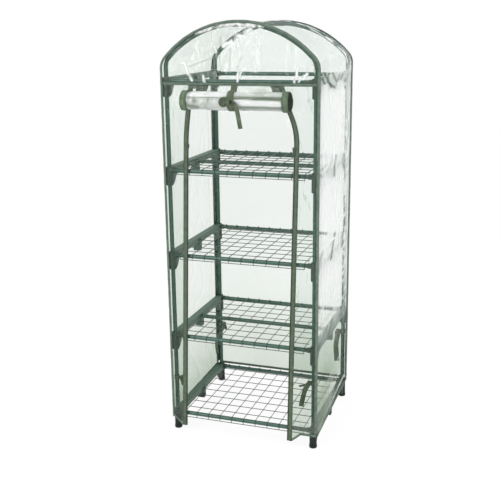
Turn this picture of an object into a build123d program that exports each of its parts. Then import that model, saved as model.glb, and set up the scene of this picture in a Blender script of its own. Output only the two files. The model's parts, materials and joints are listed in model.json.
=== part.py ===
from build123d import *
from math import acos, atan2, cos, degrees, hypot, radians, sin, sqrt, tan
import os

os.makedirs("parts", exist_ok=True)

# Tiered greenhouse: push-fit tubes in moulded side rails, four hooked wire shelves and a clear
# zipped cover whose door is rolled up. Millimetres, X to the right, Y to the back, Z up.
# The origin is on the floor, at the middle of the whole object's box.

# Frame
tier = 325.0            # from one level's cross tubes to the next
span_x = 558.0          # left post axis to right post axis
span_y = 488.0          # front post axis to rear post axis
base_drop = 68.0        # floor to the bottom level's tube axis
level_count = 5         # four shelves and the top frame
tube_d = 16.0
tube_wall = 1.0
fit = 0.15              # room round a tube in its socket
seat = 0.3              # room between pieces that rest on each other

# Moulded side rails, heights measured from the cross-tube axis
rail_top = 13.0
rail_skirt = 16.0       # how far the channel hangs below the axis
rail_wall = 2.2
flange_w = 28.0
flange_t = 5.0
flange_round = 2.0
web_w = 23.0
skirt_arch = 6.0        # rise of the arched lower edge
sleeve_d = 28.0
sleeve_drop = 56.0
sleeve_stop = 3.0       # web between the upper and the lower post socket
sleeve_chamfer = 1.2
boss_d = 20.0
boss_reach = 25.0       # post axis to the mouth of the cross-tube socket
boss_socket = 14.5
gusset_t = 18.0         # web between a sleeve and the channel
gusset_run = 54.0
gusset_toe = 22.0
gusset_drop = 52.0
hub_w = 24.0
hub_reach = 16.0
hub_drop = 44.0
hub_round = 4.0
hub_socket = 20.0
core_d = 11.0           # cored hole below the middle socket
core_drop = 30.0

# Feet under the bottom sleeves
foot_d = 30.0
foot_chamfer = 2.0
foot_plug = 22.0

# Roof hoops
hoop_rise = 197.0       # top tube axis to the hoop's own axis at the crown
crown_radius = 365.0
bend_radius = 50.0
coupling_d = 20.0
coupling_arc = 6.4      # degrees of the crown inside a coupling

# Wire shelves
wire_d = 2.4            # across flats
wire_sides = 6
hook_bend = 45.0        # degrees at each of a hook's two corners
wire_count = 11
wire_pitch = 48.6
cross_count = 8
cross_pitch = 57.7
cross_overhang = 7.0
hook_leg = 12.5         # hook ends and their edge wire below the tube axis
middle_drop = 2.6       # middle tube below the front and rear tubes
middle_levels = (1, 3)

# Cover
film_t = 0.8
film_room = 0.7         # film clear of the rails and their sleeves
tape_t = 1.6
binding_w = 7.0
hem_h = 10.0
hem_t = 2.2
zip_low = 20.0          # heights of the zip ends and the hems above the floor
strip_hem = 51.0
left_hem_front = 63.0
right_hem_front = 47.0
rear_hem = 76.0
header_drop = 13.0      # door seam below the top tube axis
header_h = 10.0

# Front strips, from the cover's side to the zip
left_strip_top = 105.0
left_strip_foot = 56.0
right_strip_top = 83.0
right_strip_foot = 113.0
hem_knee = 36.0         # from the zip's tape to where the hem turns level

# Zips
zip_tape_w = 15.0
zip_tape_t = 1.2
zip_bead_w = 3.0
zip_bead_t = 2.4
slider_w = 13.0
slider_foot_w = 10.0
slider_h = 16.0
slider_plate = 1.4
slider_room = 0.35
slider_wall = 4.3
lug_w = 2.8
lug_h = 7.0
lug_reach = 3.4
lug_bore = 2.2
pin_d = 1.6
pin_rise = 1.9          # pull pin above the slider's face
pull_w = 7.2
pull_arm = 1.6
pull_t = 1.2
pull_window = 4.5
pull_length = 18.0
slider_below_bend = 12.0
zip_bend = 218.0        # top tube axis to where a zip leans in towards the roll
zip_neck = 100.0        # top tube axis to where it runs up behind the roll

# Rolled-up door
roll_drop = 62.0        # top tube axis to the roll's axis
roll_d = 68.0
roll_turns = 5
roll_pitch = 5.2
ring_d = 74.0           # rolled zip tape at each end
ring_w = 24.0
ring_t = 2.6
roll_left_in = 101.0    # from the cover's side to the roll's end
roll_right_in = 91.0
strap_t = 1.2
strap_w = 24.0
strap_x = -8.0
hang_strap_w = 43.0
hang_strap_in = 66.0    # from the roll's end to the strap's middle
hang_strap_drop = 60.0
hang_strap_lean = 30.0
bow_depth = 12.0
bow_wall = 5.0
bow_loops = ((-15.0, 16.4, 16.4), (10.3, 9.0, 14.0))    # place along the roll, half width, half height
bow_knot_x = 1.5
bow_knot = 15.0
bow_knot_round = 4.0
bow_tail_x = 30.0
bow_tail_w = 17.0
bow_tail = 92.0
bow_tail_lean = 13.0

# Corner ties round the posts, heights above the bottom tube axis
tie_w = 16.0
tie_t = 1.6
tie_knot = 14.0
tie_knot_deep = 11.2
tie_knot_round = 3.5
tie_tail_half = 7.6
tie_heights = {"front_left": 149.0, "front_right": 195.0, "rear_left": 204.0, "rear_right": 228.0}
tie_tails = {"front_left": ((29.0, 20.0), (12.0, -30.0)), "front_right": ((38.0, -17.0), (30.0, -98.0)),
             "rear_left": ((12.0, -20.0), (5.0, -117.0)), "rear_right": ((16.0, -68.0), (8.0, -136.0))}

# Places worked out from the sizes above
tube_r = tube_d / 2
post_x = span_x / 2
top_z = base_drop + tier * (level_count - 1)
film_off = sleeve_d / 2 + film_room
side_off = max(sleeve_d, flange_w) / 2 + film_room
film_face = film_off + film_t
strap_reach = roll_d / 2 + seat + strap_t
roll_out = film_face + tape_t + ring_d / 2
front_reach = roll_out + max(ring_d / 2, strap_reach + bow_depth)
rear_reach = film_face + tape_t
shift_y = (front_reach - rear_reach) / 2
front_y = shift_y - span_y / 2
rear_y = shift_y + span_y / 2
post_socket = (rail_top + sleeve_drop - sleeve_stop) / 2
header_z = top_z - header_drop
roll_z = top_z - roll_drop
roll_y = front_y - roll_out
film_mid = front_y - film_off - film_t / 2

# The cover's hoop: a crown arc and two tangent corner arcs on upright sides
cover_half = post_x + side_off
cover_rise = hoop_rise + coupling_d / 2 + seat
cover_crown = crown_radius + coupling_d / 2 + seat
cover_corner = bend_radius + tube_r


def level_z(level):
    """Height of a level's cross-tube axis."""
    return base_drop + tier * level


def across(y):
    """Upright plane at a depth, drawn in X and Z, whose normal points to the front."""
    return Plane.XZ.offset(-y)


def keep(piece, name):
    """Label a finished piece and write it."""
    piece.part.label = name
    export_step(piece.part, f"parts/{name}.step")


def hoop_centres(half, rise, crown, corner):
    """Corner-arc centre, crown-arc centre height and angle of their common tangent point."""
    corner_x = half - corner
    lift = sqrt((crown - corner) ** 2 - corner_x ** 2)
    crown_z = top_z + rise - crown
    return corner_x, crown_z + lift, crown_z, degrees(atan2(lift, corner_x))


def hoop_edges(grow, base):
    """Closed outline of the cover's hoop, grown outward and standing on a base height."""
    corner_x, corner_z, crown_z, lean = hoop_centres(cover_half, cover_rise, cover_crown, cover_corner)
    half = cover_half + grow
    with BuildLine() as outline:
        right = CenterArc((corner_x, corner_z), cover_corner + grow, 0, lean)
        CenterArc((0, crown_z), cover_crown + grow, lean, 180 - 2 * lean)
        left = CenterArc((-corner_x, corner_z), cover_corner + grow, 180 - lean, lean)
        Polyline(left @ 1, (-half, base), (half, base), right @ 0)
    return outline.edges()


# Side rails, one moulding for each side of each level
def make_side_rail(name, side, z):
    section = Plane((side * post_x, shift_y, z), x_dir=(-side, 0, 0), z_dir=(0, side, 0))
    length_plane = Plane((side * post_x, shift_y, z), x_dir=(0, 1, 0), z_dir=(1, 0, 0))
    mouth = Plane((side * (post_x - boss_reach), shift_y, z), x_dir=(0, -side, 0), z_dir=(-side, 0, 0))
    hub_face = Plane((side * (post_x - hub_reach), shift_y, z), x_dir=(0, -side, 0), z_dir=(-side, 0, 0))
    post_spots = [(side * post_x, front_y), (side * post_x, rear_y)]
    web_top = rail_top - flange_t
    half_bay = span_y / 4
    bay_run = span_y / 2 - sleeve_d / 2 - hub_w / 2

    with BuildPart() as rail:
        with BuildSketch(section):
            with Locations((0, rail_top - flange_t / 2)):
                Rectangle(flange_w, flange_t)
            with Locations((0, (web_top - rail_skirt) / 2)):
                Rectangle(web_w, web_top + rail_skirt)
        extrude(amount=span_y / 2, both=True)
        fillet(rail.edges().filter_by(Axis.Y).group_by(Axis.Z)[-1], flange_round)
        with BuildSketch(section):
            with Locations((0, (rail_top - rail_wall - rail_skirt) / 2)):
                Rectangle(web_w - 2 * rail_wall, rail_top - rail_wall + rail_skirt)
        extrude(amount=span_y / 2, both=True, mode=Mode.SUBTRACT)
        for bay in (-half_bay, half_bay):
            with BuildSketch(length_plane):
                with BuildLine():
                    low = Line((bay - bay_run / 2, -rail_skirt), (bay + bay_run / 2, -rail_skirt))
                    ThreePointArc(low @ 1, (bay, skirt_arch - rail_skirt), low @ 0)
                make_face()
            extrude(amount=flange_w, both=True, mode=Mode.SUBTRACT)

        # End sleeves, cross-tube bosses, the gussets behind the sleeves and the middle hub
        with BuildSketch(Plane.XY.offset(z - sleeve_drop)):
            with Locations(*post_spots):
                Circle(sleeve_d / 2)
        extrude(amount=sleeve_drop + rail_top)
        chamfer(rail.faces().sort_by(Axis.Z)[:2].edges(), sleeve_chamfer)
        with BuildSketch(mouth):
            with Locations((-span_y / 2, 0), (span_y / 2, 0)):
                Circle(boss_d / 2)
        extrude(amount=-boss_reach)
        for inward in (1, -1):
            post_at = -inward * span_y / 2
            with BuildSketch(length_plane):
                with BuildLine():
                    Polyline((post_at, 0), (post_at + inward * gusset_run, 0),
                             (post_at + inward * gusset_run, skirt_arch - rail_skirt),
                             (post_at + inward * gusset_toe, -gusset_drop), (post_at, -gusset_drop), close=True)
                make_face()
            extrude(amount=gusset_t / 2, both=True)
        with BuildSketch(hub_face) as hub_outline:
            with Locations((0, (web_top - hub_drop) / 2)):
                Rectangle(hub_w, web_top + hub_drop)
            fillet(hub_outline.vertices().group_by(Axis.Y)[0], hub_round)
        extrude(amount=-(hub_reach + web_w / 2))

        # Sockets for the posts, the cross tubes and the middle tube
        with BuildSketch(Plane.XY.offset(z + rail_top)):
            with Locations(*post_spots):
                Circle(tube_r + fit)
        extrude(amount=-post_socket, mode=Mode.SUBTRACT)
        with BuildSketch(Plane.XY.offset(z - sleeve_drop)):
            with Locations(*post_spots):
                Circle(tube_r + fit)
        extrude(amount=post_socket, mode=Mode.SUBTRACT)
        with BuildSketch(mouth):
            with Locations((-span_y / 2, 0), (span_y / 2, 0)):
                Circle(tube_r + fit)
        extrude(amount=-boss_socket, mode=Mode.SUBTRACT)
        with BuildSketch(hub_face):
            with Locations((0, -middle_drop)):
                Circle(tube_r + fit)
            with Locations((0, -core_drop)):
                Circle(core_d / 2)
        extrude(amount=-hub_socket, mode=Mode.SUBTRACT)
    keep(rail, name)


for level in range(level_count):
    make_side_rail(f"side_rail_left_{level + 1}", -1, level_z(level))
    make_side_rail(f"side_rail_right_{level + 1}", 1, level_z(level))


# Posts: a tube between each two levels, from the lower rail's socket to the upper rail's
def make_post(name, x, y):
    run = tier - rail_top - sleeve_drop + 2 * post_socket - 2 * seat
    with BuildPart() as post:
        for level in range(level_count - 1):
            with BuildSketch(Plane.XY.offset(level_z(level) + rail_top - post_socket + seat)):
                with Locations((x, y)):
                    Circle(tube_r)
                    Circle(tube_r - tube_wall, mode=Mode.SUBTRACT)
            extrude(amount=run)
    keep(post, name)


make_post("post_front_left", -post_x, front_y)
make_post("post_front_right", post_x, front_y)
make_post("post_rear_left", -post_x, rear_y)
make_post("post_rear_right", post_x, rear_y)


# Cross tubes, pushed into the sockets of the two rails
def make_cross_tube(name, half_run, y, z):
    with BuildPart() as tube:
        with BuildSketch(Plane.YZ.offset(-half_run)):
            with Locations((y, z)):
                Circle(tube_r)
                Circle(tube_r - tube_wall, mode=Mode.SUBTRACT)
        extrude(amount=2 * half_run)
    keep(tube, name)


cross_half = post_x - boss_reach + boss_socket - seat
middle_half = post_x - hub_reach + hub_socket - seat
for level in range(level_count):
    make_cross_tube(f"front_tube_{level + 1}", cross_half, front_y, level_z(level))
    make_cross_tube(f"rear_tube_{level + 1}", cross_half, rear_y, level_z(level))
for level in middle_levels:
    make_cross_tube(f"middle_tube_{level + 1}", middle_half, shift_y, level_z(level) - middle_drop)

# Feet plugged into the bottom sleeves
with BuildPart() as feet:
    for post_y in (front_y, rear_y):
        with BuildSketch():
            with Locations((-post_x, post_y), (post_x, post_y)):
                Circle(foot_d / 2)
        extrude(amount=base_drop - sleeve_drop)
    chamfer(feet.edges().group_by(Axis.Z)[0], foot_chamfer)
    for post_y in (front_y, rear_y):
        with BuildSketch(Plane.XY.offset(base_drop - sleeve_drop)):
            with Locations((-post_x, post_y), (post_x, post_y)):
                Circle(tube_r)
        extrude(amount=foot_plug)
keep(feet, "foot_caps")


# Roof hoops: two bent halves at the front and two at the rear, joined in a coupling at the crown
def make_hoop_half(name, side, y):
    bend_x, bend_z, crown_z, lean = hoop_centres(post_x, hoop_rise, crown_radius, bend_radius)
    foot_z = top_z + rail_top - post_socket + seat
    with BuildPart() as hoop:
        with BuildLine(across(y)):
            leg = Line((side * post_x, foot_z), (side * post_x, bend_z))
            if side > 0:
                CenterArc((bend_x, bend_z), bend_radius, 0, lean)
                CenterArc((0, crown_z), crown_radius, lean, 90 - lean)
            else:
                CenterArc((-bend_x, bend_z), bend_radius, 180, -lean)
                CenterArc((0, crown_z), crown_radius, 180 - lean, lean - 90)
        with BuildSketch(Plane.XY.offset(foot_z)):
            with Locations((side * post_x, y)):
                Circle(tube_r)
                Circle(tube_r - tube_wall, mode=Mode.SUBTRACT)
        sweep()
    keep(hoop, name)


def make_coupling(name, y):
    crown_z = top_z + hoop_rise - crown_radius
    with BuildPart() as coupling:
        with BuildSketch(Plane.YZ):
            with Locations((y, crown_z + crown_radius)):
                Circle(coupling_d / 2)
                Circle(tube_r + fit, mode=Mode.SUBTRACT)
        revolve(axis=Axis((0, y, crown_z), (0, 1, 0)), revolution_arc=coupling_arc / 2)
        mirror(about=Plane.YZ)
    keep(coupling, name)


make_hoop_half("front_hoop_left", -1, front_y)
make_hoop_half("front_hoop_right", 1, front_y)
make_hoop_half("rear_hoop_left", -1, rear_y)
make_hoop_half("rear_hoop_right", 1, rear_y)
make_coupling("front_hoop_coupling", front_y)
make_coupling("rear_hoop_coupling", rear_y)


# Wire shelves: wires hooked over the front and rear tubes, cross wires welded underneath,
# and an edge wire along the hook ends
def make_wire_shelf(name, z):
    ride = tube_r + seat + wire_d / 2
    turn = ride * tan(radians(hook_bend / 2))
    wire_x = [(number - (wire_count - 1) / 2) * wire_pitch for number in range(wire_count)]
    cross_half_run = wire_x[-1] + cross_overhang
    with BuildPart() as wire:
        with BuildLine(Plane.YZ):
            Polyline((front_y - ride, z - hook_leg), (front_y - ride, z + turn), (front_y - turn, z + ride),
                     (rear_y + turn, z + ride), (rear_y + ride, z + turn), (rear_y + ride, z - hook_leg))
        with BuildSketch(Plane.XY.offset(z - hook_leg)):
            with Locations((0, front_y - ride)):
                RegularPolygon(wire_d / 2, wire_sides, major_radius=False)
        sweep(transition=Transition.RIGHT)
    with BuildPart() as shelf:
        with Locations(*[(x, 0, 0) for x in wire_x]):
            add(wire.part)
        with BuildSketch(Plane.YZ.offset(-cross_half_run)):
            with Locations((shift_y, z + ride - wire_d)):
                with GridLocations(cross_pitch, 0, cross_count, 1):
                    RegularPolygon(wire_d / 2, wire_sides, major_radius=False)
        extrude(amount=2 * cross_half_run)
        with BuildSketch(Plane.YZ.offset(wire_x[0])):
            with Locations((front_y - ride, z - hook_leg), (rear_y + ride, z - hook_leg)):
                RegularPolygon(wire_d / 2, wire_sides, major_radius=False)
        extrude(amount=wire_x[-1] - wire_x[0])
    keep(shelf, name)


for level in range(level_count - 1):
    make_wire_shelf(f"wire_shelf_{level + 1}", level_z(level))

# Roof and side sheet: one strip of film over both hoops, cut to the side hems
side_run = span_y + 2 * film_off
side_front = front_y - film_off
side_rear = rear_y + film_off
with BuildPart() as roof_sheet:
    with BuildSketch(across(side_front)):
        make_face(hoop_edges(film_t, 0))
        make_face(hoop_edges(0, -film_t), mode=Mode.SUBTRACT)
    extrude(amount=-side_run)
    for side, hem_front in ((-1, left_hem_front), (1, right_hem_front)):
        with BuildSketch(Plane.YZ.offset(side * cover_half)):
            with BuildLine():
                Polyline((side_front, 0), (side_rear, 0), (side_rear, rear_hem + hem_h),
                         (side_front, hem_front + hem_h), close=True)
            make_face()
        extrude(amount=binding_w, both=True, mode=Mode.SUBTRACT)
keep(roof_sheet, "roof_and_side_sheet")

with BuildPart() as rear_sheet:
    with BuildSketch(across(side_rear)):
        make_face(hoop_edges(film_t, rear_hem + hem_h))
    extrude(amount=-film_t)
keep(rear_sheet, "rear_sheet")

with BuildPart() as lunette:
    with BuildSketch(across(side_front)):
        make_face(hoop_edges(film_t, header_z))
    extrude(amount=film_t)
keep(lunette, "front_lunette")

# Zip lines: the bead runs straight up from its low end, then leans in and goes up behind the roll
roll_left = roll_left_in - cover_half
roll_right = cover_half - roll_right_in
bend_z = top_z - zip_bend
neck_z = top_z - zip_neck
zip_run_z = header_z - zip_low
zip_top = {-1: left_strip_top - cover_half, 1: cover_half - right_strip_top}
zip_foot = {-1: left_strip_foot - cover_half, 1: cover_half - right_strip_foot}
zip_neck_x = {-1: roll_left + ring_w / 2, 1: roll_right - ring_w / 2}


def zip_frame(side):
    """Plane where a zip's straight line meets the door seam: x towards the door, y up along the zip."""
    lean = zip_top[side] - zip_foot[side]
    run = hypot(lean, zip_run_z)
    up_x = lean / run
    up_z = zip_run_z / run
    to_door = (-side * up_z, 0, side * up_x)
    plane = Plane((zip_top[side], film_mid, header_z), x_dir=to_door, z_dir=(0, side, 0))
    return plane, run, up_z


def zip_x(side, z):
    """Place of the bead's straight line at a height."""
    return zip_foot[side] + (zip_top[side] - zip_foot[side]) * (z - zip_low) / zip_run_z


def zip_path(side, low, shift):
    """Points along a zip from a low end to the door seam, shifted sideways."""
    return [(zip_x(side, low) + shift, low), (zip_x(side, bend_z) + shift, bend_z),
            (zip_neck_x[side] + shift, neck_z), (zip_neck_x[side] + shift, header_z - seat)]


def strip_hem_line(side, rise):
    """Lower edge of a front strip from the zip's tape to the cover's side, raised by an amount."""
    start = zip_foot[side] + side * (zip_tape_w + seat)
    outer = side * (cover_half + film_t)
    knee = side * min(abs(start) + hem_knee, abs(outer) - binding_w)
    return [(start, zip_low + rise), (knee, strip_hem + rise), (outer, strip_hem + rise)]


def make_front_strip(name, side):
    hem_line = strip_hem_line(side, hem_h)
    edge = zip_path(side, hem_line[0][1], side * (zip_tape_w + seat))
    with BuildPart() as strip:
        with BuildSketch(across(side_front)):
            with BuildLine():
                Polyline(*hem_line, (hem_line[-1][0], header_z - seat), *edge[:0:-1], close=True)
            make_face()
        extrude(amount=film_t)
    keep(strip, name)


def make_zip_tape(name, side):
    with BuildPart() as tape:
        for near, far, thick in ((0, side * zip_tape_w, zip_tape_t),
                                 (-zip_bead_w / 2, zip_bead_w / 2, zip_bead_t)):
            with BuildSketch(across(film_mid)):
                with BuildLine():
                    Polyline(*zip_path(side, zip_low, near), *zip_path(side, zip_low, far)[::-1], close=True)
                make_face()
            extrude(amount=thick / 2, both=True)
    keep(tape, name)


# Sliders sit on the bead where it is straight, with the pull hanging from a lug
slot_half = zip_bead_t / 2 + slider_room
slider_half = slot_half + slider_plate
pin_out = slider_half + pin_rise
slider_z = bend_z - slider_below_bend


def make_slider(name, side):
    plane, run, up_z = zip_frame(side)
    park = (header_z - slider_z) / up_z
    out = -side
    wall_x = slider_w / 2 - slider_wall
    with BuildPart() as slider:
        with BuildSketch(plane):
            with BuildLine():
                Polyline((-slider_w / 2, slider_h / 2 - park), (slider_w / 2, slider_h / 2 - park),
                         (slider_foot_w / 2, -slider_h / 2 - park),
                         (-slider_foot_w / 2, -slider_h / 2 - park), close=True)
            make_face()
        extrude(amount=slider_half, both=True)
        with BuildSketch(plane):
            with Locations((wall_x - slider_w / 2, -park)):
                Rectangle(slider_w, slider_h + 2 * slider_room)
        extrude(amount=slot_half, both=True, mode=Mode.SUBTRACT)
        with BuildSketch(plane.offset(out * slider_half)):
            with Locations((0, -park)):
                Rectangle(lug_w, lug_h)
        extrude(amount=out * lug_reach)
        pin_start = plane.from_local_coords((-lug_w, -park, out * pin_out))
        with BuildSketch(Plane(pin_start, x_dir=plane.z_dir, z_dir=plane.x_dir)):
            Circle(lug_bore / 2)
        extrude(amount=2 * lug_w, mode=Mode.SUBTRACT)
    keep(slider, name)


def make_pull(name, side):
    plane, run, up_z = zip_frame(side)
    park = (header_z - slider_z) / up_z
    out = -side
    with BuildPart() as pull:
        with BuildSketch(plane.offset(out * pin_out)):
            with Locations((0, -park + (pin_d / 2 - pull_length) / 2)):
                Rectangle(pull_w, pull_length + pin_d / 2)
            with Locations((0, -park)):
                Rectangle(pull_w - 2 * pull_arm, 2 * pull_window, mode=Mode.SUBTRACT)
        extrude(amount=pull_t / 2, both=True)
        pin_start = plane.from_local_coords((-pull_w / 2, -park, out * pin_out))
        with BuildSketch(Plane(pin_start, x_dir=plane.z_dir, z_dir=plane.x_dir)):
            Circle(pin_d / 2)
        extrude(amount=pull_w)
    keep(pull, name)


for side, hand in ((-1, "left"), (1, "right")):
    make_front_strip(f"front_strip_{hand}", side)
    make_zip_tape(f"zip_tape_{hand}", side)
    make_slider(f"zip_slider_{hand}", side)
    make_pull(f"zip_pull_{hand}", side)


# Bindings folded round the front and rear seams
def make_binding(name, out, face_y, base):
    plane = across(face_y)
    outer = film_t + tape_t
    with BuildPart() as binding:
        with BuildSketch(plane):
            make_face(hoop_edges(outer, base))
            make_face(hoop_edges(outer - binding_w, base - tape_t), mode=Mode.SUBTRACT)
        extrude(amount=-out * tape_t)
        with BuildSketch(plane):
            make_face(hoop_edges(outer, base))
            make_face(hoop_edges(film_t, base - tape_t), mode=Mode.SUBTRACT)
        extrude(amount=out * binding_w)
    keep(binding, name)


make_binding("front_binding", -1, front_y - film_face, strip_hem + hem_h)
make_binding("rear_binding", 1, rear_y + film_face, rear_hem + hem_h)

# Hem tapes along the lower edges, between the bindings
edge_in = cover_half + film_t + tape_t - binding_w
hem_start = side_front + binding_w - film_t + seat
hem_end = side_rear - binding_w + film_t - seat
with BuildPart() as hems:
    for side, hem_front in ((-1, left_hem_front), (1, right_hem_front)):
        slope = (rear_hem - hem_front) / side_run
        start_z = hem_front + slope * (hem_start - side_front)
        end_z = hem_front + slope * (hem_end - side_front)
        with BuildSketch(Plane.YZ.offset(side * cover_half)):
            with BuildLine():
                Polyline((hem_start, start_z), (hem_end, end_z), (hem_end, end_z + hem_h),
                         (hem_start, start_z + hem_h), close=True)
            make_face()
        extrude(amount=side * hem_t)
        with BuildSketch(across(side_front)):
            with BuildLine():
                Polyline(*strip_hem_line(side, 0), *strip_hem_line(side, hem_h)[::-1], close=True)
            make_face()
        extrude(amount=hem_t)
    with BuildSketch(across(side_rear)):
        with Locations((0, rear_hem + hem_h / 2)):
            Rectangle(2 * (edge_in - seat), hem_h)
    extrude(amount=-hem_t)
keep(hems, "hem_tapes")

# Door seam tape along the lunette's lower edge
with BuildPart() as header:
    with BuildSketch(across(front_y - film_face)):
        with Locations((0, header_z + header_h / 2)):
            Rectangle(2 * (edge_in - seat), header_h)
    extrude(amount=tape_t)
keep(header, "door_header_tape")


# Rolled door: a leaf from the door seam, tangent to a spiral that winds inward over the front
def tangent_angle(from_y, from_z, radius, turn):
    """Angle on the roll at which a line from a point touches a circle, on the side that turn gives."""
    reach = hypot(from_y - roll_y, from_z - roll_z)
    bearing = atan2(from_z - roll_z, from_y - roll_y)
    return degrees(bearing + turn * acos(radius / reach))


def roll_spot(radius, angle):
    """Point of a circle round the roll's axis, in depth and height."""
    return (roll_y + radius * cos(radians(angle)), roll_z + radius * sin(radians(angle)))


def make_scroll(name, seam_y, radius, thick, x_from, x_to):
    seam_z = header_z - seat
    start = tangent_angle(seam_y, seam_z, radius, -1)
    leaf_run = hypot(seam_y - roll_spot(radius, start)[0], seam_z - roll_spot(radius, start)[1])
    leaf_y = -sin(radians(start)) * leaf_run
    leaf_z = cos(radians(start)) * leaf_run
    half_turns = 2 * roll_turns
    with BuildPart() as scroll:
        with BuildSketch(Plane.YZ.offset(x_from)):
            with BuildLine():
                ends = []
                for grow in (thick / 2, -thick / 2):
                    touch = roll_spot(radius + grow, start)
                    Line((touch[0] + leaf_y, touch[1] + leaf_z), touch)
                    CenterArc((roll_y, roll_z), radius + grow, start, -180 - start)
                    centre = roll_y
                    wind = radius
                    for half in range(half_turns - 1):
                        wind = wind - roll_pitch / 2
                        centre = centre + (-roll_pitch / 2 if half % 2 == 0 else roll_pitch / 2)
                        CenterArc((centre, roll_z), wind + grow, 180 if half % 2 == 0 else 0, -180)
                    ends.append(((touch[0] + leaf_y, touch[1] + leaf_z), (centre + wind + grow, roll_z)))
                Line(ends[0][0], ends[1][0])
                Line(ends[0][1], ends[1][1])
            make_face()
        extrude(amount=x_to - x_from)
    keep(scroll, name)
    print(f"{name}: least gap between turns {roll_pitch - thick:.2f} mm")


door_seam = front_y - film_face - tape_t / 2
ring_seam = film_mid - zip_bead_t / 2 - seat - ring_t / 2
ring_radius = (ring_d - ring_t) / 2
make_scroll("door_roll", door_seam, (roll_d - film_t) / 2, film_t, roll_left + ring_w, roll_right - ring_w)
make_scroll("door_zip_roll_left", ring_seam, ring_radius, ring_t, roll_left, roll_left + ring_w)
make_scroll("door_zip_roll_right", ring_seam, ring_radius, ring_t, roll_right - ring_w, roll_right)

# Centre tie: a strap round the roll, sewn in front of and behind the door seam, with its bow
strap_mid = roll_d / 2 + seat + strap_t / 2
front_sew = (front_y - film_face - tape_t - seat - strap_t / 2, header_z + header_h / 2)
rear_sew = (film_mid, header_z - 2 * seat)
front_touch = tangent_angle(*front_sew, strap_mid, 1)
rear_touch = tangent_angle(*rear_sew, strap_mid, -1)
bow_y = roll_y - strap_reach
with BuildPart() as roll_tie:
    with BuildSketch(Plane.YZ.offset(strap_x - strap_w / 2)):
        with BuildLine():
            tips = []
            for grow in (strap_t / 2, -strap_t / 2):
                front_spot = roll_spot(strap_mid + grow, front_touch)
                rear_spot = roll_spot(strap_mid + grow, rear_touch)
                front_tip = (front_sew[0] + grow * cos(radians(front_touch)),
                             front_sew[1] + grow * sin(radians(front_touch)))
                rear_tip = (rear_sew[0] + grow * cos(radians(rear_touch)),
                            rear_sew[1] + grow * sin(radians(rear_touch)))
                Line(front_tip, front_spot)
                CenterArc((roll_y, roll_z), strap_mid + grow, front_touch, 360 + rear_touch - front_touch)
                Line(rear_spot, rear_tip)
                tips.append((front_tip, rear_tip))
            Line(tips[0][0], tips[1][0])
            Line(tips[0][1], tips[1][1])
        make_face()
    extrude(amount=strap_w)
    bow_plane = across(bow_y + strap_t / 2)
    with BuildSketch(bow_plane):
        for loop_x, half_w, half_h in bow_loops:
            with Locations((strap_x + loop_x, roll_z)):
                Ellipse(half_w, half_h)
                Ellipse(half_w - bow_wall, half_h - bow_wall, mode=Mode.SUBTRACT)
        with Locations((strap_x + bow_knot_x, roll_z)):
            RectangleRounded(bow_knot, bow_knot, bow_knot_round)
    extrude(amount=bow_depth + strap_t / 2)
    with BuildSketch(bow_plane):
        with BuildLine():
            tail_left = strap_x + bow_tail_x - bow_tail_w / 2
            Polyline((strap_x, roll_z + bow_knot / 2), (tail_left + bow_tail_w, roll_z - bow_tail_w / 2),
                     (tail_left + bow_tail_w + bow_tail_lean, roll_z - bow_tail),
                     (tail_left + bow_tail_lean, roll_z - bow_tail), (tail_left, roll_z - bow_tail_w),
                     (strap_x, roll_z - bow_knot / 2), close=True)
        make_face()
    extrude(amount=strap_t)
keep(roll_tie, "roll_tie")


# Spare straps that hang behind the rolled door
def make_hang_strap(name, side):
    middle = roll_left + hang_strap_in if side < 0 else roll_right - hang_strap_in
    left = middle - hang_strap_w / 2
    lean = side * hang_strap_lean
    top = header_z + header_h
    foot = header_z - hang_strap_drop
    with BuildPart() as strap:
        with BuildSketch(across(front_y - film_off + seat + strap_t)):
            with BuildLine():
                Polyline((left, top), (left + hang_strap_w, top), (left + hang_strap_w + lean, foot),
                         (left + lean, foot), close=True)
            make_face()
        extrude(amount=strap_t)
    keep(strap, name)


make_hang_strap("hang_strap_left", -1)
make_hang_strap("hang_strap_right", 1)


# Corner ties: a turn of tape round the post, a tab to the seam, a knot and two tails
def make_corner_ties(name, row, post_y, deep):
    with BuildPart() as ties:
        for side, hand in ((-1, "left"), (1, "right")):
            low = base_drop + tie_heights[f"{row}_{hand}"] - tie_w / 2
            with BuildSketch(Plane.XY.offset(low)):
                with Locations((side * post_x, post_y)):
                    Circle(tube_r + seat + tie_t)
                    Circle(tube_r + seat, mode=Mode.SUBTRACT)
            extrude(amount=tie_w)
            to_seam = (side * side_off, deep * film_off, 0)
            tab = Plane((side * post_x, post_y, low), x_dir=to_seam, z_dir=(0, 0, 1))
            tab_start = tube_r + seat + tie_t / 2
            tab_end = hypot(side_off, film_off) - tie_t
            with BuildSketch(tab):
                with Locations(((tab_start + tab_end) / 2, 0)):
                    Rectangle(tab_end - tab_start, tie_t)
            extrude(amount=tie_w)
            knot_x = side * (post_x - tube_r - seat - tie_t / 2 - tie_knot / 2)
            with BuildSketch(Plane.XY.offset(low + (tie_w - tie_knot) / 2)):
                with Locations((knot_x, post_y)):
                    RectangleRounded(tie_knot, tie_knot_deep, tie_knot_round)
            extrude(amount=tie_knot)
            mid = low + tie_w / 2
            for reach, drop in tie_tails[f"{row}_{hand}"]:
                with BuildSketch(across(post_y)):
                    with BuildLine():
                        run = hypot(reach, drop)
                        wide_x = -drop / run * tie_tail_half
                        wide_z = reach / run * tie_tail_half
                        Polyline((knot_x - side * wide_x, mid - wide_z),
                                 (knot_x + side * wide_x, mid + wide_z),
                                 (knot_x - side * (reach - wide_x), mid + drop + wide_z),
                                 (knot_x - side * (reach + wide_x), mid + drop - wide_z), close=True)
                    make_face()
                extrude(amount=tie_t / 2, both=True)
    keep(ties, name)


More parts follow.
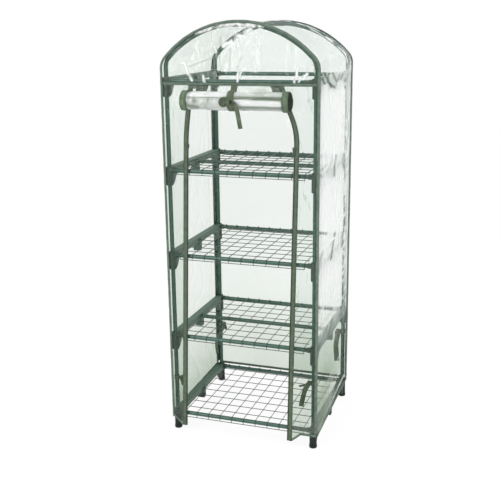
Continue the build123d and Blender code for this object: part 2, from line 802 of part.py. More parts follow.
make_corner_ties("front_corner_ties", "front", front_y, -1)
make_corner_ties("rear_corner_ties", "rear", rear_y, 1)
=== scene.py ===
"""Tiered greenhouse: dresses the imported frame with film, tape, zips and ties, and sets the stage."""

import json
import math

import bpy
import numpy as np
from mathutils import Matrix, Vector, noise


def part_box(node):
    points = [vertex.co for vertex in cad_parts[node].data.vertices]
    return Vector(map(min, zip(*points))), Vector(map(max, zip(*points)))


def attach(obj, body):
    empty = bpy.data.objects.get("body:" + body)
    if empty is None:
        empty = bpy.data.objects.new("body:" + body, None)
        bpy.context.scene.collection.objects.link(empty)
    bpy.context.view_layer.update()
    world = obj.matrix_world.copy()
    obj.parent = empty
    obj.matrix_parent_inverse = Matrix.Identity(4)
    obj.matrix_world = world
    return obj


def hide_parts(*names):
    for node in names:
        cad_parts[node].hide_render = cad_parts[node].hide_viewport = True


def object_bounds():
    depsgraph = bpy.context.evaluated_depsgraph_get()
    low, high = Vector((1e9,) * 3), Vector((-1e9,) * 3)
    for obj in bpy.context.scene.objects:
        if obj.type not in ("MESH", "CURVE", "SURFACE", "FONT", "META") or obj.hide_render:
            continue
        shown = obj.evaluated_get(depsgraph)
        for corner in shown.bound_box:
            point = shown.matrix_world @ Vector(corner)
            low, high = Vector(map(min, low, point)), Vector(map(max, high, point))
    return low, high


bl_info = {
    "name": "Tiered greenhouse",
    "version": (1, 0, 0),
    "blender": (4, 5, 0),
    "location": "3D View > Sidebar > Greenhouse",
    "description": "Dresses a greenhouse frame with film, seam tape, zips, a rolled door and ties",
    "category": "Object",
}

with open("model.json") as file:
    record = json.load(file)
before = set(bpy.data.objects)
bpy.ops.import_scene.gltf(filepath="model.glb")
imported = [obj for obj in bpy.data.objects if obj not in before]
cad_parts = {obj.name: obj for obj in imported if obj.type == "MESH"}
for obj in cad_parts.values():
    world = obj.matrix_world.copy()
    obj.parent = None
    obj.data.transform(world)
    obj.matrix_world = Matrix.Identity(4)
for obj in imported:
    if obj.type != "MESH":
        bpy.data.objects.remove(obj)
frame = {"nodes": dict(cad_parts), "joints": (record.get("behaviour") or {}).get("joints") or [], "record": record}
CAD_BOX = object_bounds()
MM = 0.001
FULL_TURN = 2 * math.pi
HANDS = ((-1, "left"), (1, "right"))
UP = (0, 0, 1)
ACROSS = (1, 0, 0)
BLACK = (0.0, 0.0, 0.0)
WHITE = (1.0, 1.0, 1.0)


def centre(node):
    """Middle of a node's box."""
    low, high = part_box(node)
    return (low + high) / 2


# Places read from the frame
POST_X = centre("post_front_right").x
FRONT_Y = centre("post_front_left").y
REAR_Y = centre("post_rear_left").y
TOP_Z = centre("front_tube_5").z
FILM_LOW, FILM_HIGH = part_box("roof_and_side_sheet")
HEADER_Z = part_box("front_lunette")[0].z
FRONT_FACE_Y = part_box("front_lunette")[0].y
REAR_FACE_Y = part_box("rear_sheet")[1].y
FRONT_FILM_Y = centre("front_lunette").y
REAR_FILM_Y = centre("rear_sheet").y
ZIP_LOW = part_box("zip_tape_left")[0].z
RING_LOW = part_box("door_zip_roll_left")[0]
ROLL_LOW, ROLL_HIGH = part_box("door_roll")


# Settings that a user would change

def length_setting(name, description, size):
    """A length, with its default in millimetres."""
    return bpy.props.FloatProperty(name=name, description=description, default=size * MM, unit="LENGTH")


def angle_setting(name, description, degrees):
    """An angle, with its default in degrees."""
    return bpy.props.FloatProperty(
        name=name, description=description, default=math.radians(degrees), subtype="ANGLE")


def colour_setting(name, description, colour):
    """A colour with its default."""
    return bpy.props.FloatVectorProperty(name=name, description=description, default=colour, subtype="COLOR")


class GreenhouseFilm(bpy.types.PropertyGroup):
    thickness: length_setting("Film thickness", "Thickness of the clear film as drawn", 0.5)
    crown_radius: length_setting("Crown radius", "Radius of the cover over the hoop's crown", 376.1)
    corner_radius: length_setting("Corner radius", "Radius of the cover at the hoop's shoulders", 58.8)
    grid: length_setting("Mesh step", "Distance between the film's mesh lines", 6.5)
    tint: colour_setting("Tint", "What the film lets through", (0.962, 0.976, 0.968))
    # Colour of the painted grey shade and crease lines, blended in by the marks at any angle of view
    shade_tint: colour_setting("Crease tint", "What the film lets through where it is seen edge on",
                              (0.50, 0.585, 0.475))
    # Colour of the white scatter that paints the sheen and the glare
    sheen_milk: colour_setting("Milk", "Colour of the film's scatter", (0.985, 0.995, 0.990))
    veil: bpy.props.FloatProperty(
        name="Veil", description="Milky sheen of the film when seen at a slant", default=2.4)


class GreenhouseTape(bpy.types.PropertyGroup):
    thickness: length_setting("Tape thickness", "Thickness of the folded seam tape", 1.4)
    width: length_setting("Binding width", "Width of each leg of the folded binding", 9.0)
    hem: length_setting("Hem height", "Height of the hems and of the door seam", 10.0)
    zip_width: length_setting("Zip tape width", "Width of the zip's tape", 18.5)
    left_hem: length_setting("Left hem", "Height of the left wall's hem at the front", 63.0)
    right_hem: length_setting("Right hem", "Height of the right wall's hem at the front", 47.0)
    rear_hem: length_setting("Rear hem", "Height of the rear sheet's hem", 76.0)
    strip_hem: length_setting("Strip hem", "Height of the front strips' hem", 51.0)
    hem_knee: length_setting("Hem knee", "Run over which a strip's hem rises from the zip", 36.0)
    zip_bend: length_setting("Zip bend", "Depth below the top tubes at which the zips lean in", 218.0)
    zip_neck: length_setting("Zip neck", "Depth below the top tubes at which zips run up behind the roll",
                             100.0)
    ring: length_setting("Ring", "Diameter of the wound zip tape", 74.0)
    seam_colour: colour_setting("Seam tape", "Colour of bindings and hems", (0.122, 0.168, 0.130))
    zip_colour: colour_setting("Zip tape", "Colour of the zip's tape", (0.085, 0.119, 0.077))
    tie_colour: colour_setting("Tie tape", "Colour of ties and straps", (0.120, 0.158, 0.102))


class GreenhouseFrame(bpy.types.PropertyGroup):
    tube_colour: colour_setting("Tube coat", "Colour of the powder coat", (0.038, 0.104, 0.074))
    rail_colour: colour_setting("Rail plastic", "Colour of the moulded rails", (0.102, 0.158, 0.124))
    wire_colour: colour_setting("Wire coat", "Colour of the dipped wire", (0.036, 0.060, 0.046))


class GreenhouseStage(bpy.types.PropertyGroup):
    eye: bpy.props.FloatVectorProperty(
        name="Camera place", description="Where the camera stands", subtype="XYZ", unit="LENGTH",
        default=(1.006, -3.0079, 1.558))
    azimuth: angle_setting("Azimuth", "Camera's turn to the right of the front", 19.12)
    elevation: angle_setting("Elevation", "Camera's angle above the horizon", 15.03)
    roll: angle_setting("Roll", "Camera's tilt about its own axis", -0.66)
    lens: bpy.props.FloatProperty(
        name="Lens", description="Focal length in millimetres on a 36 mm sensor", default=60.19)


# Number helpers

def combined(*parts):
    """Points, UVs or marks from arrays of their parts, spread over one grid."""
    return np.stack(np.broadcast_arrays(*parts), axis=-1)


def unit(vectors):
    """Vectors brought to a length of one."""
    return vectors / np.maximum(np.linalg.norm(vectors, axis=-1, keepdims=True), 1e-12)


def run_along(path):
    """Distance along a path to each of its points."""
    return np.concatenate([[0], np.cumsum(np.linalg.norm(np.diff(path, axis=0), axis=1))])


def fade_in(value, start, end):
    """0 up to a start, 1 from an end on, and even steps between; the end may lie below the start."""
    return np.clip((value - start) / (end - start), 0, 1)


def bell(value, middle, width):
    """1 at a middle, falling off to both sides."""
    return np.exp(-((value - middle) / width) ** 2)


def graded(value, *stops):
    """A level read between stops, each with its place and its level."""
    places, levels = zip(*stops)
    return np.interp(value, places, levels)


def field(first, second, first_scale, second_scale, seed):
    """Smooth noise over two coordinates, from about -1 to 1."""
    first, second = np.broadcast_arrays(first * first_scale, second * second_scale)
    values = [noise.noise((a, b, seed)) for a, b in zip(first.ravel(), second.ravel())]
    return np.array(values).reshape(first.shape)


def crease(first, second, first_scale, second_scale, seed, width=0.12):
    """Thin meandering ridges, 1 along each ridge and 0 away from it."""
    return np.clip(1 - np.abs(field(first, second, first_scale, second_scale, seed)) / width, 0, 1) ** 1.5


def strokes(first, second, lines, squeeze=1.0):
    """How far points lie under drawn lines, each a strength, a width and spots in millimetres."""
    first, second = np.asarray(first) / MM * squeeze, np.asarray(second) / MM
    cover = np.zeros(np.broadcast(first, second).shape)
    for strength, width, *spots in lines:
        spots = [(spot[0] * squeeze, spot[1]) for spot in spots]
        for (a, b), (c, d) in zip(spots, spots[1:]):
            along = ((first - a) * (c - a) + (second - b) * (d - b)) / ((c - a) ** 2 + (d - b) ** 2)
            along = np.clip(along, 0, 1)
            gap = np.hypot(first - a - along * (c - a), second - b - along * (d - b))
            cover = np.maximum(cover, strength * np.clip(1.5 - gap / width, 0, 1))
    return cover


def smooth_path(points, steps=12):
    """Points along a smooth curve through a few given ones."""
    points = [Vector(p) for p in points]
    padded = [2 * points[0] - points[1], *points, 2 * points[-1] - points[-2]]
    path = []
    for before, start, end, beyond in zip(padded, padded[1:], padded[2:], padded[3:]):
        for step in range(steps):
            t = step / steps
            path.append(0.5 * (2 * start + (end - before) * t
                               + (2 * before - 5 * start + 4 * end - beyond) * t ** 2
                               + (3 * start - before - 3 * end + beyond) * t ** 3))
    path.append(points[-1])
    return np.array(path)


def closed_path(middle, with_cosine, with_sine, steps):
    """Points once round a loop: its middle, and how far it goes with the cosine and the sine of its turn."""
    turn = np.linspace(0, FULL_TURN, steps)[:, None]
    return np.array(middle) + np.cos(turn) * np.array(with_cosine) + np.sin(turn) * np.array(with_sine)


# Mesh helpers

def mesh_piece(name, points, faces):
    """An object in the scene from points and faces."""
    mesh = bpy.data.meshes.new(name)
    mesh.from_pydata(points, [], faces)
    piece = bpy.data.objects.new(name, mesh)
    bpy.context.scene.collection.objects.link(piece)
    return piece


def grid_piece(name, points, thickness, uv=None, marks=None):
    """A closed sheet of a thickness round a grid of points, with the grid's own UVs and marks."""
    rows, columns = points.shape[:2]
    normal = unit(np.cross(np.gradient(points, axis=0), np.gradient(points, axis=1)))
    top = points + normal * thickness / 2
    bottom = points - normal * thickness / 2
    count = rows * columns
    index = np.arange(count).reshape(rows, columns)
    upper = combined(index[:-1, :-1], index[1:, :-1], index[1:, 1:], index[:-1, 1:]).reshape(-1, 4)
    lower = upper[:, ::-1] + count
    rim = np.concatenate([index[:-1, 0], index[-1, :-1], index[:0:-1, -1], index[0, :0:-1]])
    after = np.roll(rim, -1)
    sides = combined(after, rim, rim + count, after + count)
    piece = mesh_piece(name, np.concatenate([top.reshape(-1, 3), bottom.reshape(-1, 3)]).tolist(),
                       np.concatenate([upper, lower, sides]).tolist())
    mesh = piece.data
    if uv is not None:
        layer = mesh.uv_layers.new(name="tape")
        corner = np.zeros(len(mesh.loops), np.int32)
        mesh.loops.foreach_get("vertex_index", corner)
        layer.data.foreach_set("uv", uv.reshape(-1, 2)[corner % count].astype(np.float32).ravel())
    if marks is not None:
        layer = mesh.attributes.new("marks", "FLOAT_COLOR", "POINT")
        layer.data.foreach_set("color", np.tile(marks.reshape(-1, 4), (2, 1)).astype(np.float32).ravel())
    mesh.polygons.foreach_set("use_smooth", [True] * len(mesh.polygons))
    return piece


def outward(side):
    """Order of a grid's columns that turns its face to the outside."""
    return slice(None), slice(None, None, -side)


def marked(like, veil=0.0, glare=0.0, painted_shade=0.0, crease_shade=0.0):
    """The film's marks at each point of a grid: painted sheen (veil), painted glare, painted grey shade and
    painted crease shade.
    """
    return combined(*np.broadcast_arrays(like, veil, glare, painted_shade, crease_shade)[1:])


def ribbon(name, path, side, width, thickness, columns=5, camber=0.0):
    """A tape along a path, spread to both sides of it along unit side vectors, with UVs in metres."""
    path = np.asarray(path, float)
    side = np.broadcast_to(np.asarray(side, float), path.shape)
    face = unit(np.cross(np.gradient(path, axis=0), side))
    spread = np.linspace(-0.5, 0.5, columns)
    bulge = camber * (1 - (2 * spread) ** 2)
    points = path[:, None] + side[:, None] * (spread * width)[:, None] + face[:, None] * bulge[:, None]
    return grid_piece(name, points, thickness, combined(spread * width, run_along(path)[:, None]))


def loose_tail(name, spots, facing, width, camber):
    """A loose end of tie tape along a smooth curve."""
    path = smooth_path(spots)
    side = unit(np.cross(np.gradient(path, axis=0), facing))
    return ribbon(name, path, side, width, 1.0 * MM, camber=camber)


def joined(name, pieces):
    """Several pieces as one object."""
    bpy.ops.object.select_all(action="DESELECT")
    for piece in pieces:
        piece.select_set(True)
    bpy.context.view_layer.objects.active = pieces[0]
    bpy.ops.object.join()
    pieces[0].name = name
    return pieces[0]


def fitted(piece, look, slot, *nodes):
    """A finished piece: its look, the body it rides on and the nodes it stands for; its slot is not used."""
    piece.data.materials.clear()
    piece.data.materials.append(finish(look))
    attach(piece, "frame")
    if nodes:
        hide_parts(*nodes)
    return piece


# The cover's outline

def hoop_shape():
    """Shoulder's middle across and up, crown's middle up, the angle where they meet, and half the run."""
    film = bpy.context.scene.greenhouse_film
    corner, crown = film.corner_radius, film.crown_radius
    corner_x = FILM_HIGH.x - corner
    lift = math.sqrt((crown - corner) ** 2 - corner_x ** 2)
    crown_z = FILM_HIGH.z - crown
    lean = math.atan2(lift, corner_x)
    half_run = crown_z + lift + corner * lean + crown * (math.pi / 2 - lean)
    return corner_x, crown_z + lift, crown_z, lean, half_run


def hoop_length():
    """Length of the hoop from floor to floor."""
    return 2 * hoop_shape()[-1]


def hoop(run):
    """Point and outward normal of the cover's hoop at a distance along it from the floor on the left."""
    film = bpy.context.scene.greenhouse_film
    corner, crown = film.corner_radius, film.crown_radius
    corner_x, corner_z, crown_z, lean, half_run = hoop_shape()
    side = np.where(run < half_run, -1.0, 1.0)
    climb = np.minimum(run, 2 * half_run - run)
    wall = climb <= corner_z
    shoulder = climb <= corner_z + corner * lean
    over_shoulder = climb - corner_z - corner * lean
    angle = np.where(shoulder, (climb - corner_z) / corner, lean + over_shoulder / crown)
    angle = np.where(wall, 0.0, angle)
    radius = np.where(shoulder, corner, crown)
    reach = np.where(shoulder, corner_x, 0.0) + radius * np.cos(angle)
    x = side * np.where(wall, FILM_HIGH.x, reach)
    z = np.where(wall, climb, np.where(shoulder, corner_z, crown_z) + radius * np.sin(angle))
    return x, z, side * np.cos(angle), np.sin(angle)


def arch_height(x):
    """Height of the cover's hoop above a place across it."""
    hoop_x, hoop_z = hoop(np.linspace(0, hoop_length(), 2000))[:2]
    upper = hoop_z > FILM_HIGH.z - bpy.context.scene.greenhouse_film.crown_radius
    order = np.argsort(hoop_x[upper])
    return np.interp(x, hoop_x[upper][order], hoop_z[upper][order])


def roll_centre():
    """Depth and height of the rolled door's axis."""
    radius = bpy.context.scene.greenhouse_tape.ring / 2
    return RING_LOW.y + radius, RING_LOW.z + radius


# Node helpers

def blank_tree(owner):
    """The emptied node tree of a material or world."""
    owner.use_nodes = True
    owner.node_tree.nodes.clear()
    return owner.node_tree


def put(tree, kind, settings=None, **sockets):
    """A node with its settings and sockets; a socket takes a number, a colour or another node's output."""
    made = tree.nodes.new(kind)
    for key, value in (settings or {}).items():
        setattr(made, key, value)
    for key, value in sockets.items():
        words = key.replace("_", " ").lower()
        socket = made.inputs[int(key[1:])] if key[1:].isdigit() else next(
            s for s in made.inputs if s.name.lower() == words and s.enabled)
        if isinstance(value, bpy.types.NodeSocket):
            tree.links.new(value, socket)
        elif hasattr(value, "__len__") and socket.type == "RGBA":
            socket.default_value = (*value[:3], 1.0)
        else:
            socket.default_value = value
    return made


def calc(tree, operation, first, second=0.0, third=0.0):
    """The result of one sum."""
    return put(tree, "ShaderNodeMath", {"operation": operation}, i0=first, i1=second, i2=third).outputs[0]


def mapped(tree, value, start, end, low=0.0, high=1.0):
    """A value carried from one range to another."""
    return put(tree, "ShaderNodeMapRange", value=value, from_min=start, from_max=end, to_min=low,
               to_max=high).outputs[0]


def blend(tree, factor, first, second):
    """A colour between two others."""
    return put(tree, "ShaderNodeMix", {"data_type": "RGBA"}, i0=factor, i6=first, i7=second).outputs[2]


def mix(tree, factor, first, second):
    """A surface between two others."""
    return put(tree, "ShaderNodeMixShader", i0=factor, i1=first.outputs[0], i2=second.outputs[0])


def place(tree, stretch=(1.0, 1.0, 1.0)):
    """The piece's own coordinates, stretched."""
    own = put(tree, "ShaderNodeTexCoord").outputs["Object"]
    return put(tree, "ShaderNodeMapping", vector=own, scale=stretch).outputs[0]


def cloud(tree, stretch=(1.0, 1.0, 1.0), **sockets):
    """Noise over the piece's own coordinates."""
    return put(tree, "ShaderNodeTexNoise", vector=place(tree, stretch), **sockets).outputs["Fac"]


def ramp(tree, factor, *stops):
    """A colour ramp with its stops as (place, colour)."""
    made = put(tree, "ShaderNodeValToRGB", fac=factor)
    while len(made.color_ramp.elements) < len(stops):
        made.color_ramp.elements.new(0.5)
    for element, (where, colour) in zip(made.color_ramp.elements, stops):
        element.position = where
        element.color = (*colour, 1.0)
    return made.outputs["Color"]


def seen(tree):
    """1 for rays that show the background: from the camera, in gloss and through clear pieces."""
    rays = put(tree, "ShaderNodeLightPath").outputs
    indirect = calc(tree, "MAXIMUM", rays["Is Glossy Ray"], rays["Is Transmission Ray"])
    return calc(tree, "MAXIMUM", rays["Is Camera Ray"], indirect)


def shade(colour, factor):
    """A colour made lighter or darker."""
    return tuple(min(1.0, part * factor) for part in colour)


# Finishes

def coat(tree, colour, roughness, grain, depth, shaded_sleeves_dark_feet=False):
    """Coated or moulded surface: mottled and grained; where asked, with painted shade at the sleeves and darker
    towards the floor.
    """
    mottle = cloud(tree, scale=38.0, detail=4.0, roughness=0.6)
    tone = ramp(tree, mottle, (0.25, shade(colour, 0.78)), (0.55, colour), (0.80, shade(colour, 1.28)))
    if shaded_sleeves_dark_feet:
        spot = put(tree, "ShaderNodeSeparateXYZ", vector=place(tree)).outputs
        # Painted shade: darker where the rails' sleeves hold the posts, in the front and rear rows
        gaps = [calc(tree, "ABSOLUTE", calc(tree, "SUBTRACT", spot["Y"], y)) for y in (FRONT_Y, REAR_Y)]
        sleeve_shade = mapped(tree, calc(tree, "MINIMUM", *gaps), 22 * MM, 16 * MM)
        tone = blend(tree, sleeve_shade, tone, shade(colour, 0.52))
        # Darker towards the floor, on the feet and the lowest parts of the rails
        low = mapped(tree, spot["Z"], 62 * MM, 40 * MM)
        tone = blend(tree, low, tone, shade(colour, 0.12))
    fine = cloud(tree, scale=grain, detail=2.0)
    bump = put(tree, "ShaderNodeBump", strength=depth, distance=0.4 * MM, height=fine).outputs[0]
    dull = mapped(tree, mottle, 0.3, 0.7, roughness - 0.06, roughness + 0.08)
    return put(tree, "ShaderNodeBsdfPrincipled", base_color=tone, roughness=dull, normal=bump,
               specular_ior_level=0.22 if shaded_sleeves_dark_feet else 0.5)


def vinyl(tree, fold):
    """Clear soft vinyl: lets light through and mirrors at a slant; its marks paint white sheen, glare and grey
    shade into it.
    """
    film = bpy.context.scene.greenhouse_film
    marks = put(tree, "ShaderNodeAttribute", {"attribute_name": "marks"}).outputs
    veil, glare, painted_shade = put(tree, "ShaderNodeSeparateColor", color=marks["Color"]).outputs
    soft = cloud(tree, (9.0, 9.0, 2.4), scale=1.0, detail=3.0, distortion=0.9)
    fine = cloud(tree, (46.0, 46.0, 15.0), scale=1.0, detail=2.0, distortion=1.6)
    height = calc(tree, "MULTIPLY_ADD", fine, 0.22, soft)
    bump = put(tree, "ShaderNodeBump", strength=fold, distance=20 * MM, height=height).outputs[0]

    def slanted(**normal):
        facing = put(tree, "ShaderNodeLayerWeight", blend=0.35, **normal).outputs["Facing"]
        return calc(tree, "POWER", facing, 3.0)

    # Painted crease shade: thin dark lines along the noise's ridges, broken up, as strong as the marks say
    lines = ramp(tree, soft, (0.475, BLACK), (0.50, WHITE), (0.515, BLACK))
    broken = calc(tree, "MULTIPLY", lines, mapped(tree, fine, 0.42, 0.62))
    dark = calc(tree, "MAXIMUM", painted_shade, calc(tree, "MULTIPLY", broken, marks["Alpha"]))
    # Painted shade greys what the film lets through and its scatter
    clear = put(tree, "ShaderNodeBsdfTransparent", color=blend(tree, dark, film.tint, film.shade_tint))
    # Painted sheen where the marks' veil meets a slant, and painted glare where the marks put it, both as white
    # scatter
    sheen = calc(tree, "MULTIPLY_ADD", calc(tree, "MULTIPLY", slanted(), film.veil), veil, glare)
    sheen.node.use_clamp = True
    white = blend(tree, dark, film.sheen_milk, film.shade_tint)
    sheen_milk = mix(tree, 0.5, put(tree, "ShaderNodeBsdfDiffuse", color=white, normal=bump),
               put(tree, "ShaderNodeBsdfTranslucent", color=white, normal=bump))
    body = mix(tree, sheen, clear, sheen_milk)
    mirror = put(tree, "ShaderNodeBsdfAnisotropic", color=WHITE, roughness=0.06, normal=bump)
    # The mirror's share follows the marks' painted veil
    gloss = calc(tree, "MULTIPLY_ADD", calc(tree, "MULTIPLY", slanted(normal=bump), 0.9), veil, 0.02)
    outside = calc(tree, "SUBTRACT", 1.0, put(tree, "ShaderNodeNewGeometry").outputs["Backfacing"])
    return mix(tree, calc(tree, "MULTIPLY", gloss, outside), body, mirror)


def cloth(tree, colour, width, stitched=True, shade_after=None, coil=None):
    """Woven tape along its UVs, with stitches where it has them, painted shade past a length, and darker at its
    coil.
    """
    uv = put(tree, "ShaderNodeUVMap", {"uv_map": "tape"}).outputs[0]
    split = put(tree, "ShaderNodeSeparateXYZ", vector=uv).outputs
    across, along = split["X"], split["Y"]
    turn = FULL_TURN / (1.3 * MM)
    warp, weft = (calc(tree, "SINE", calc(tree, "MULTIPLY", way, turn)) for way in (across, along))
    weave = calc(tree, "MULTIPLY", warp, weft)
    level = calc(tree, "MULTIPLY_ADD", weave, 0.10, cloud(tree, scale=60.0, detail=4.0))
    tone = ramp(tree, level, (0.25, shade(colour, 0.62)), (0.55, colour), (0.85, shade(colour, 1.45)))
    if stitched:
        inset = calc(tree, "SUBTRACT", calc(tree, "ABSOLUTE", across), width / 2 - 2.4 * MM)
        row = calc(tree, "LESS_THAN", calc(tree, "ABSOLUTE", inset), 0.5 * MM)
        pace = calc(tree, "FRACT", calc(tree, "MULTIPLY", along, 1 / (4.2 * MM)))
        stitch = calc(tree, "MULTIPLY", row, calc(tree, "LESS_THAN", pace, 0.68))
        tone = blend(tree, stitch, tone, shade(colour, 2.1))
    # Painted shade: darker past a length, on the inner turns of a roll
    if shade_after:
        tone = blend(tree, mapped(tree, along, shade_after, shade_after * 1.1), tone, shade(colour, 0.25))
    if coil:
        tone = blend(tree, calc(tree, "LESS_THAN", across, coil), tone, shade(colour, 0.4))
    bump = put(tree, "ShaderNodeBump", strength=0.5, distance=0.3 * MM, height=weave)
    return put(tree, "ShaderNodeBsdfPrincipled", base_color=tone, roughness=0.75, normal=bump.outputs[0],
               specular_ior_level=0.2)


def pale_floor(tree):
    """Floor that shows white and still takes the shadow."""
    paint = put(tree, "ShaderNodeBsdfDiffuse", color=(0.92, 0.92, 0.92))
    glow = put(tree, "ShaderNodeEmission", color=WHITE, strength=1.03)
    return mix(tree, calc(tree, "MULTIPLY", seen(tree), 0.86), paint, glow)


def finish(name):
    """A finish by its name, made on first use."""
    found = bpy.data.materials.get(name)
    if found:
        return found
    coats = bpy.context.scene.greenhouse_frame
    tapes = bpy.context.scene.greenhouse_tape
    coil = 3.4 * MM - tapes.zip_width / 2
    outer_turns = 3.3 * tapes.ring
    recipes = {
        "powder_coat": (coat, coats.tube_colour, 0.24, 900.0, 0.08),
        # Rails: painted shade at the sleeves, and darker towards the floor
        "moulded_rail": (coat, coats.rail_colour, 0.45, 520.0, 0.35, True),
        "wire_coat": (coat, coats.wire_colour, 0.38, 700.0, 0.2),
        "slider_paint": (coat, shade(tapes.zip_colour, 0.7), 0.4, 800.0, 0.1),
        "zip_teeth": (coat, shade(tapes.zip_colour, 0.35), 0.42, 800.0, 0.1),
        "soft_vinyl": (vinyl, 0.35),
        "rolled_film": (vinyl, 0.6),
        "binding_cloth": (cloth, tapes.seam_colour, tapes.width),
        "hem_cloth": (cloth, tapes.seam_colour, tapes.hem),
        "zip_cloth": (cloth, tapes.zip_colour, tapes.width, True, None, coil),
        # Painted light: the wound zip tape is a lighter copy of the zip tape, with painted shade past its outer
        # turns
        "wound_cloth_painted_light": (cloth, shade(tapes.zip_colour, 1.45), tapes.width, True, outer_turns),
        "tie_cloth": (cloth, tapes.tie_colour, 20.0 * MM, False),
        "pale_floor": (pale_floor,),
    }
    make, *settings = recipes[name]
    material = bpy.data.materials.new(name)
    tree = blank_tree(material)
    put(tree, "ShaderNodeOutputMaterial", surface=make(tree, *settings).outputs[0])
    return material


# Painted glare, and painted shade along folds and wrinkles, drawn on the film: strength, width and spots in
# millimetres
LUNETTE_GLARE = (
    (0.95, 4.0, (-215, 1430), (-200, 1435), (-190, 1415), (-185, 1395), (-170, 1370)),
    (0.95, 4.0, (-195, 1420), (-185, 1395)), (0.55, 4.0, (-155, 1500), (-145, 1470), (-140, 1420)),
    (0.90, 4.0, (-130, 1390), (-125, 1365)), (0.45, 4.0, (-90, 1535), (-80, 1470)),
    (0.45, 3.5, (-105, 1495), (-105, 1460)), (0.45, 7.0, (-5, 1540), (0, 1505)),
    (0.90, 3.5, (5, 1410), (0, 1370)), (0.90, 2.5, (15, 1405), (10, 1385)),
    (0.40, 10.0, (80, 1535), (70, 1410)), (0.95, 3.5, (205, 1370), (220, 1415)),
    (0.95, 3.5, (220, 1370), (250, 1400)), (0.60, 2.5, (265, 1445), (275, 1405)),
    (0.85, 6.0, (-50, 1490), (-20, 1505)), (0.85, 5.0, (5, 1525), (15, 1525)),
    (0.80, 7.0, (30, 1535), (50, 1545)), (0.95, 5.0, (-150, 1535), (-80, 1555), (0, 1565), (90, 1555)))
# Painted shade along the lunette's wrinkles
LUNETTE_WRINKLE_SHADE = ((0.20, 3.0, (-180, 1420), (-95, 1450)), (0.20, 4.0, (-60, 1520), (-65, 1440)),
                    (0.20, 4.0, (-25, 1480), (-30, 1410)))
CORNER_ZIGZAG = (0.65, 3.2, *((145 + 45 * (turn % 2), 1300 - 60 * turn) for turn in range(16)))
WALL_STREAKS = (
    CORNER_ZIGZAG, (1.0, 4.0, (-215, 1400), (-150, 1355)), (1.0, 4.0, (-165, 1400), (-60, 1345)),
    (0.9, 4.0, (-95, 1390), (-120, 1365), (-15, 1340)), (0.8, 4.0, (-35, 1390), (45, 1345)),
    (0.7, 4.0, (125, 1380), (50, 1335)), (0.7, 3.0, (75, 1380), (0, 1335)),
    (0.7, 4.0, (-205, 1380), (-125, 1385)), (0.7, 4.5, (35, 1085), (5, 1050), (5, 1015)),
    (0.5, 3.5, (-205, 1065), (-105, 1075)), (0.5, 3.5, (-105, 1045), (-30, 1080)),
    (0.6, 3.0, (-250, 1070), (-180, 1040)), (0.8, 3.0, (-225, 850), (-95, 815)),
    (0.8, 5.0, (35, 790), (-25, 700)), (0.4, 4.0, (-45, 755), (35, 775)),
    (0.4, 4.0, (-150, 765), (-235, 715)), (0.4, 4.0, (-25, 725), (-100, 710)),
    (0.8, 3.5, (-245, 575), (-170, 550)), (0.8, 3.5, (-125, 535), (5, 490)),
    (0.7, 4.5, (25, 470), (-5, 430), (-55, 390)), (0.6, 4.5, (-75, 440), (-225, 400)))
WALL_GLEAMS = ((0.55, 4.5, (-270, 75), (60, 95), (230, 115)), (0.35, 5.0, (-200, 150), (0, 135), (150, 170)),
               (0.30, 5.0, (-60, 205), (150, 240)))
WALL_SQUEEZE = 0.25
# On the roll: painted shade along its folds, then painted shine
ROLL_FOLD_SHADE = ((1.0, 3.6, (5, 1320), (180, 1320)), (1.0, 6.0, (80, 1318), (180, 1314)),
              (0.50, 6.0, (15, 1288), (175, 1286)), (0.80, 2.4, (-165, 1320), (-30, 1320)),
              (0.9, 9.0, (-180, 1312), (-172, 1294)), (0.6, 6.0, (-170, 1291), (-125, 1285)),
              (0.45, 3.0, (-150, 1345), (-5, 1345)), (0.45, 3.0, (25, 1343), (175, 1338)))
ROLL_SHINE = ((1.0, 6.0, (-150, 1328), (-20, 1328)), (1.0, 8.0, (20, 1302), (175, 1302)))

# Painted glare at the foot of each front strip, and its painted grey shade at five heights in metres
STRIP_GLARE = {-1: 0.06, 1: 0.12}
STRIP_HEIGHTS = (0.05, 0.18, 0.32, 0.65, 1.2)
STRIP_PAINTED_SHADE = {-1: (0.40, 0.24, 0.20, 0.15, 0.03), 1: (0.36, 0.33, 0.24, 0.02, 0.0)}

# How far each zip hangs in below its bend, at its neck and at the door seam, in millimetres
ZIP_HANG = {-1: (3.0, 0.0, 12.0), 1: (0.0, 11.0, 40.0)}
TOOTH_FACES = ((0, 1, 3, 2), (4, 6, 7, 5), (0, 4, 5, 1), (2, 3, 7, 6), (0, 2, 6, 4), (1, 5, 7, 3))

# Bow loops: place across, rise, half width, half height, lean of the tape, its width and its thickness
BOW_LOOPS = ((-23, 0, 16.2, 16.2, (0.15, 1, 0.1), 12, 2.8), (-23, 0, 10.8, 10.8, (0.1, 1, -0.1), 11, 3.0),
             (2.5, -2, 7.0, 11.5, (-0.2, 1, 0.0), 10, 2.0))
BOW_TAIL = ((8, 3, -4), (19, 0, -12), (27, -1, -38), (31, 2, -66), (35, 4, -91))

# Corner ties: height of the knot, and each tail's width and spots as reach inward, depth and rise from it
CORNER_TIES = {
    ("front", -1): (217.0, [(12, (12, -5, 9), (30, -6, 21)), (15, (8, -6, -8), (13, -5, -30))]),
    ("front", 1): (263.0, [(8, (18, -4, -10), (38, -4, -17)),
                           (18, (14, -6, -28), (23, -5, -62), (30, -4, -98))]),
    ("rear", -1): (272.0, [(13, (4, -30, -12), (-12, -64, -60), (-8, -70, -117)),
                           (11, (10, -10, -10), (13, -14, -22))]),
    ("rear", 1): (296.0, [(21, (6, -8, -26), (10, -10, -68), (6, -6, -136)),
                          (13, (6, -6, 4), (12, -6, -16))]),
}

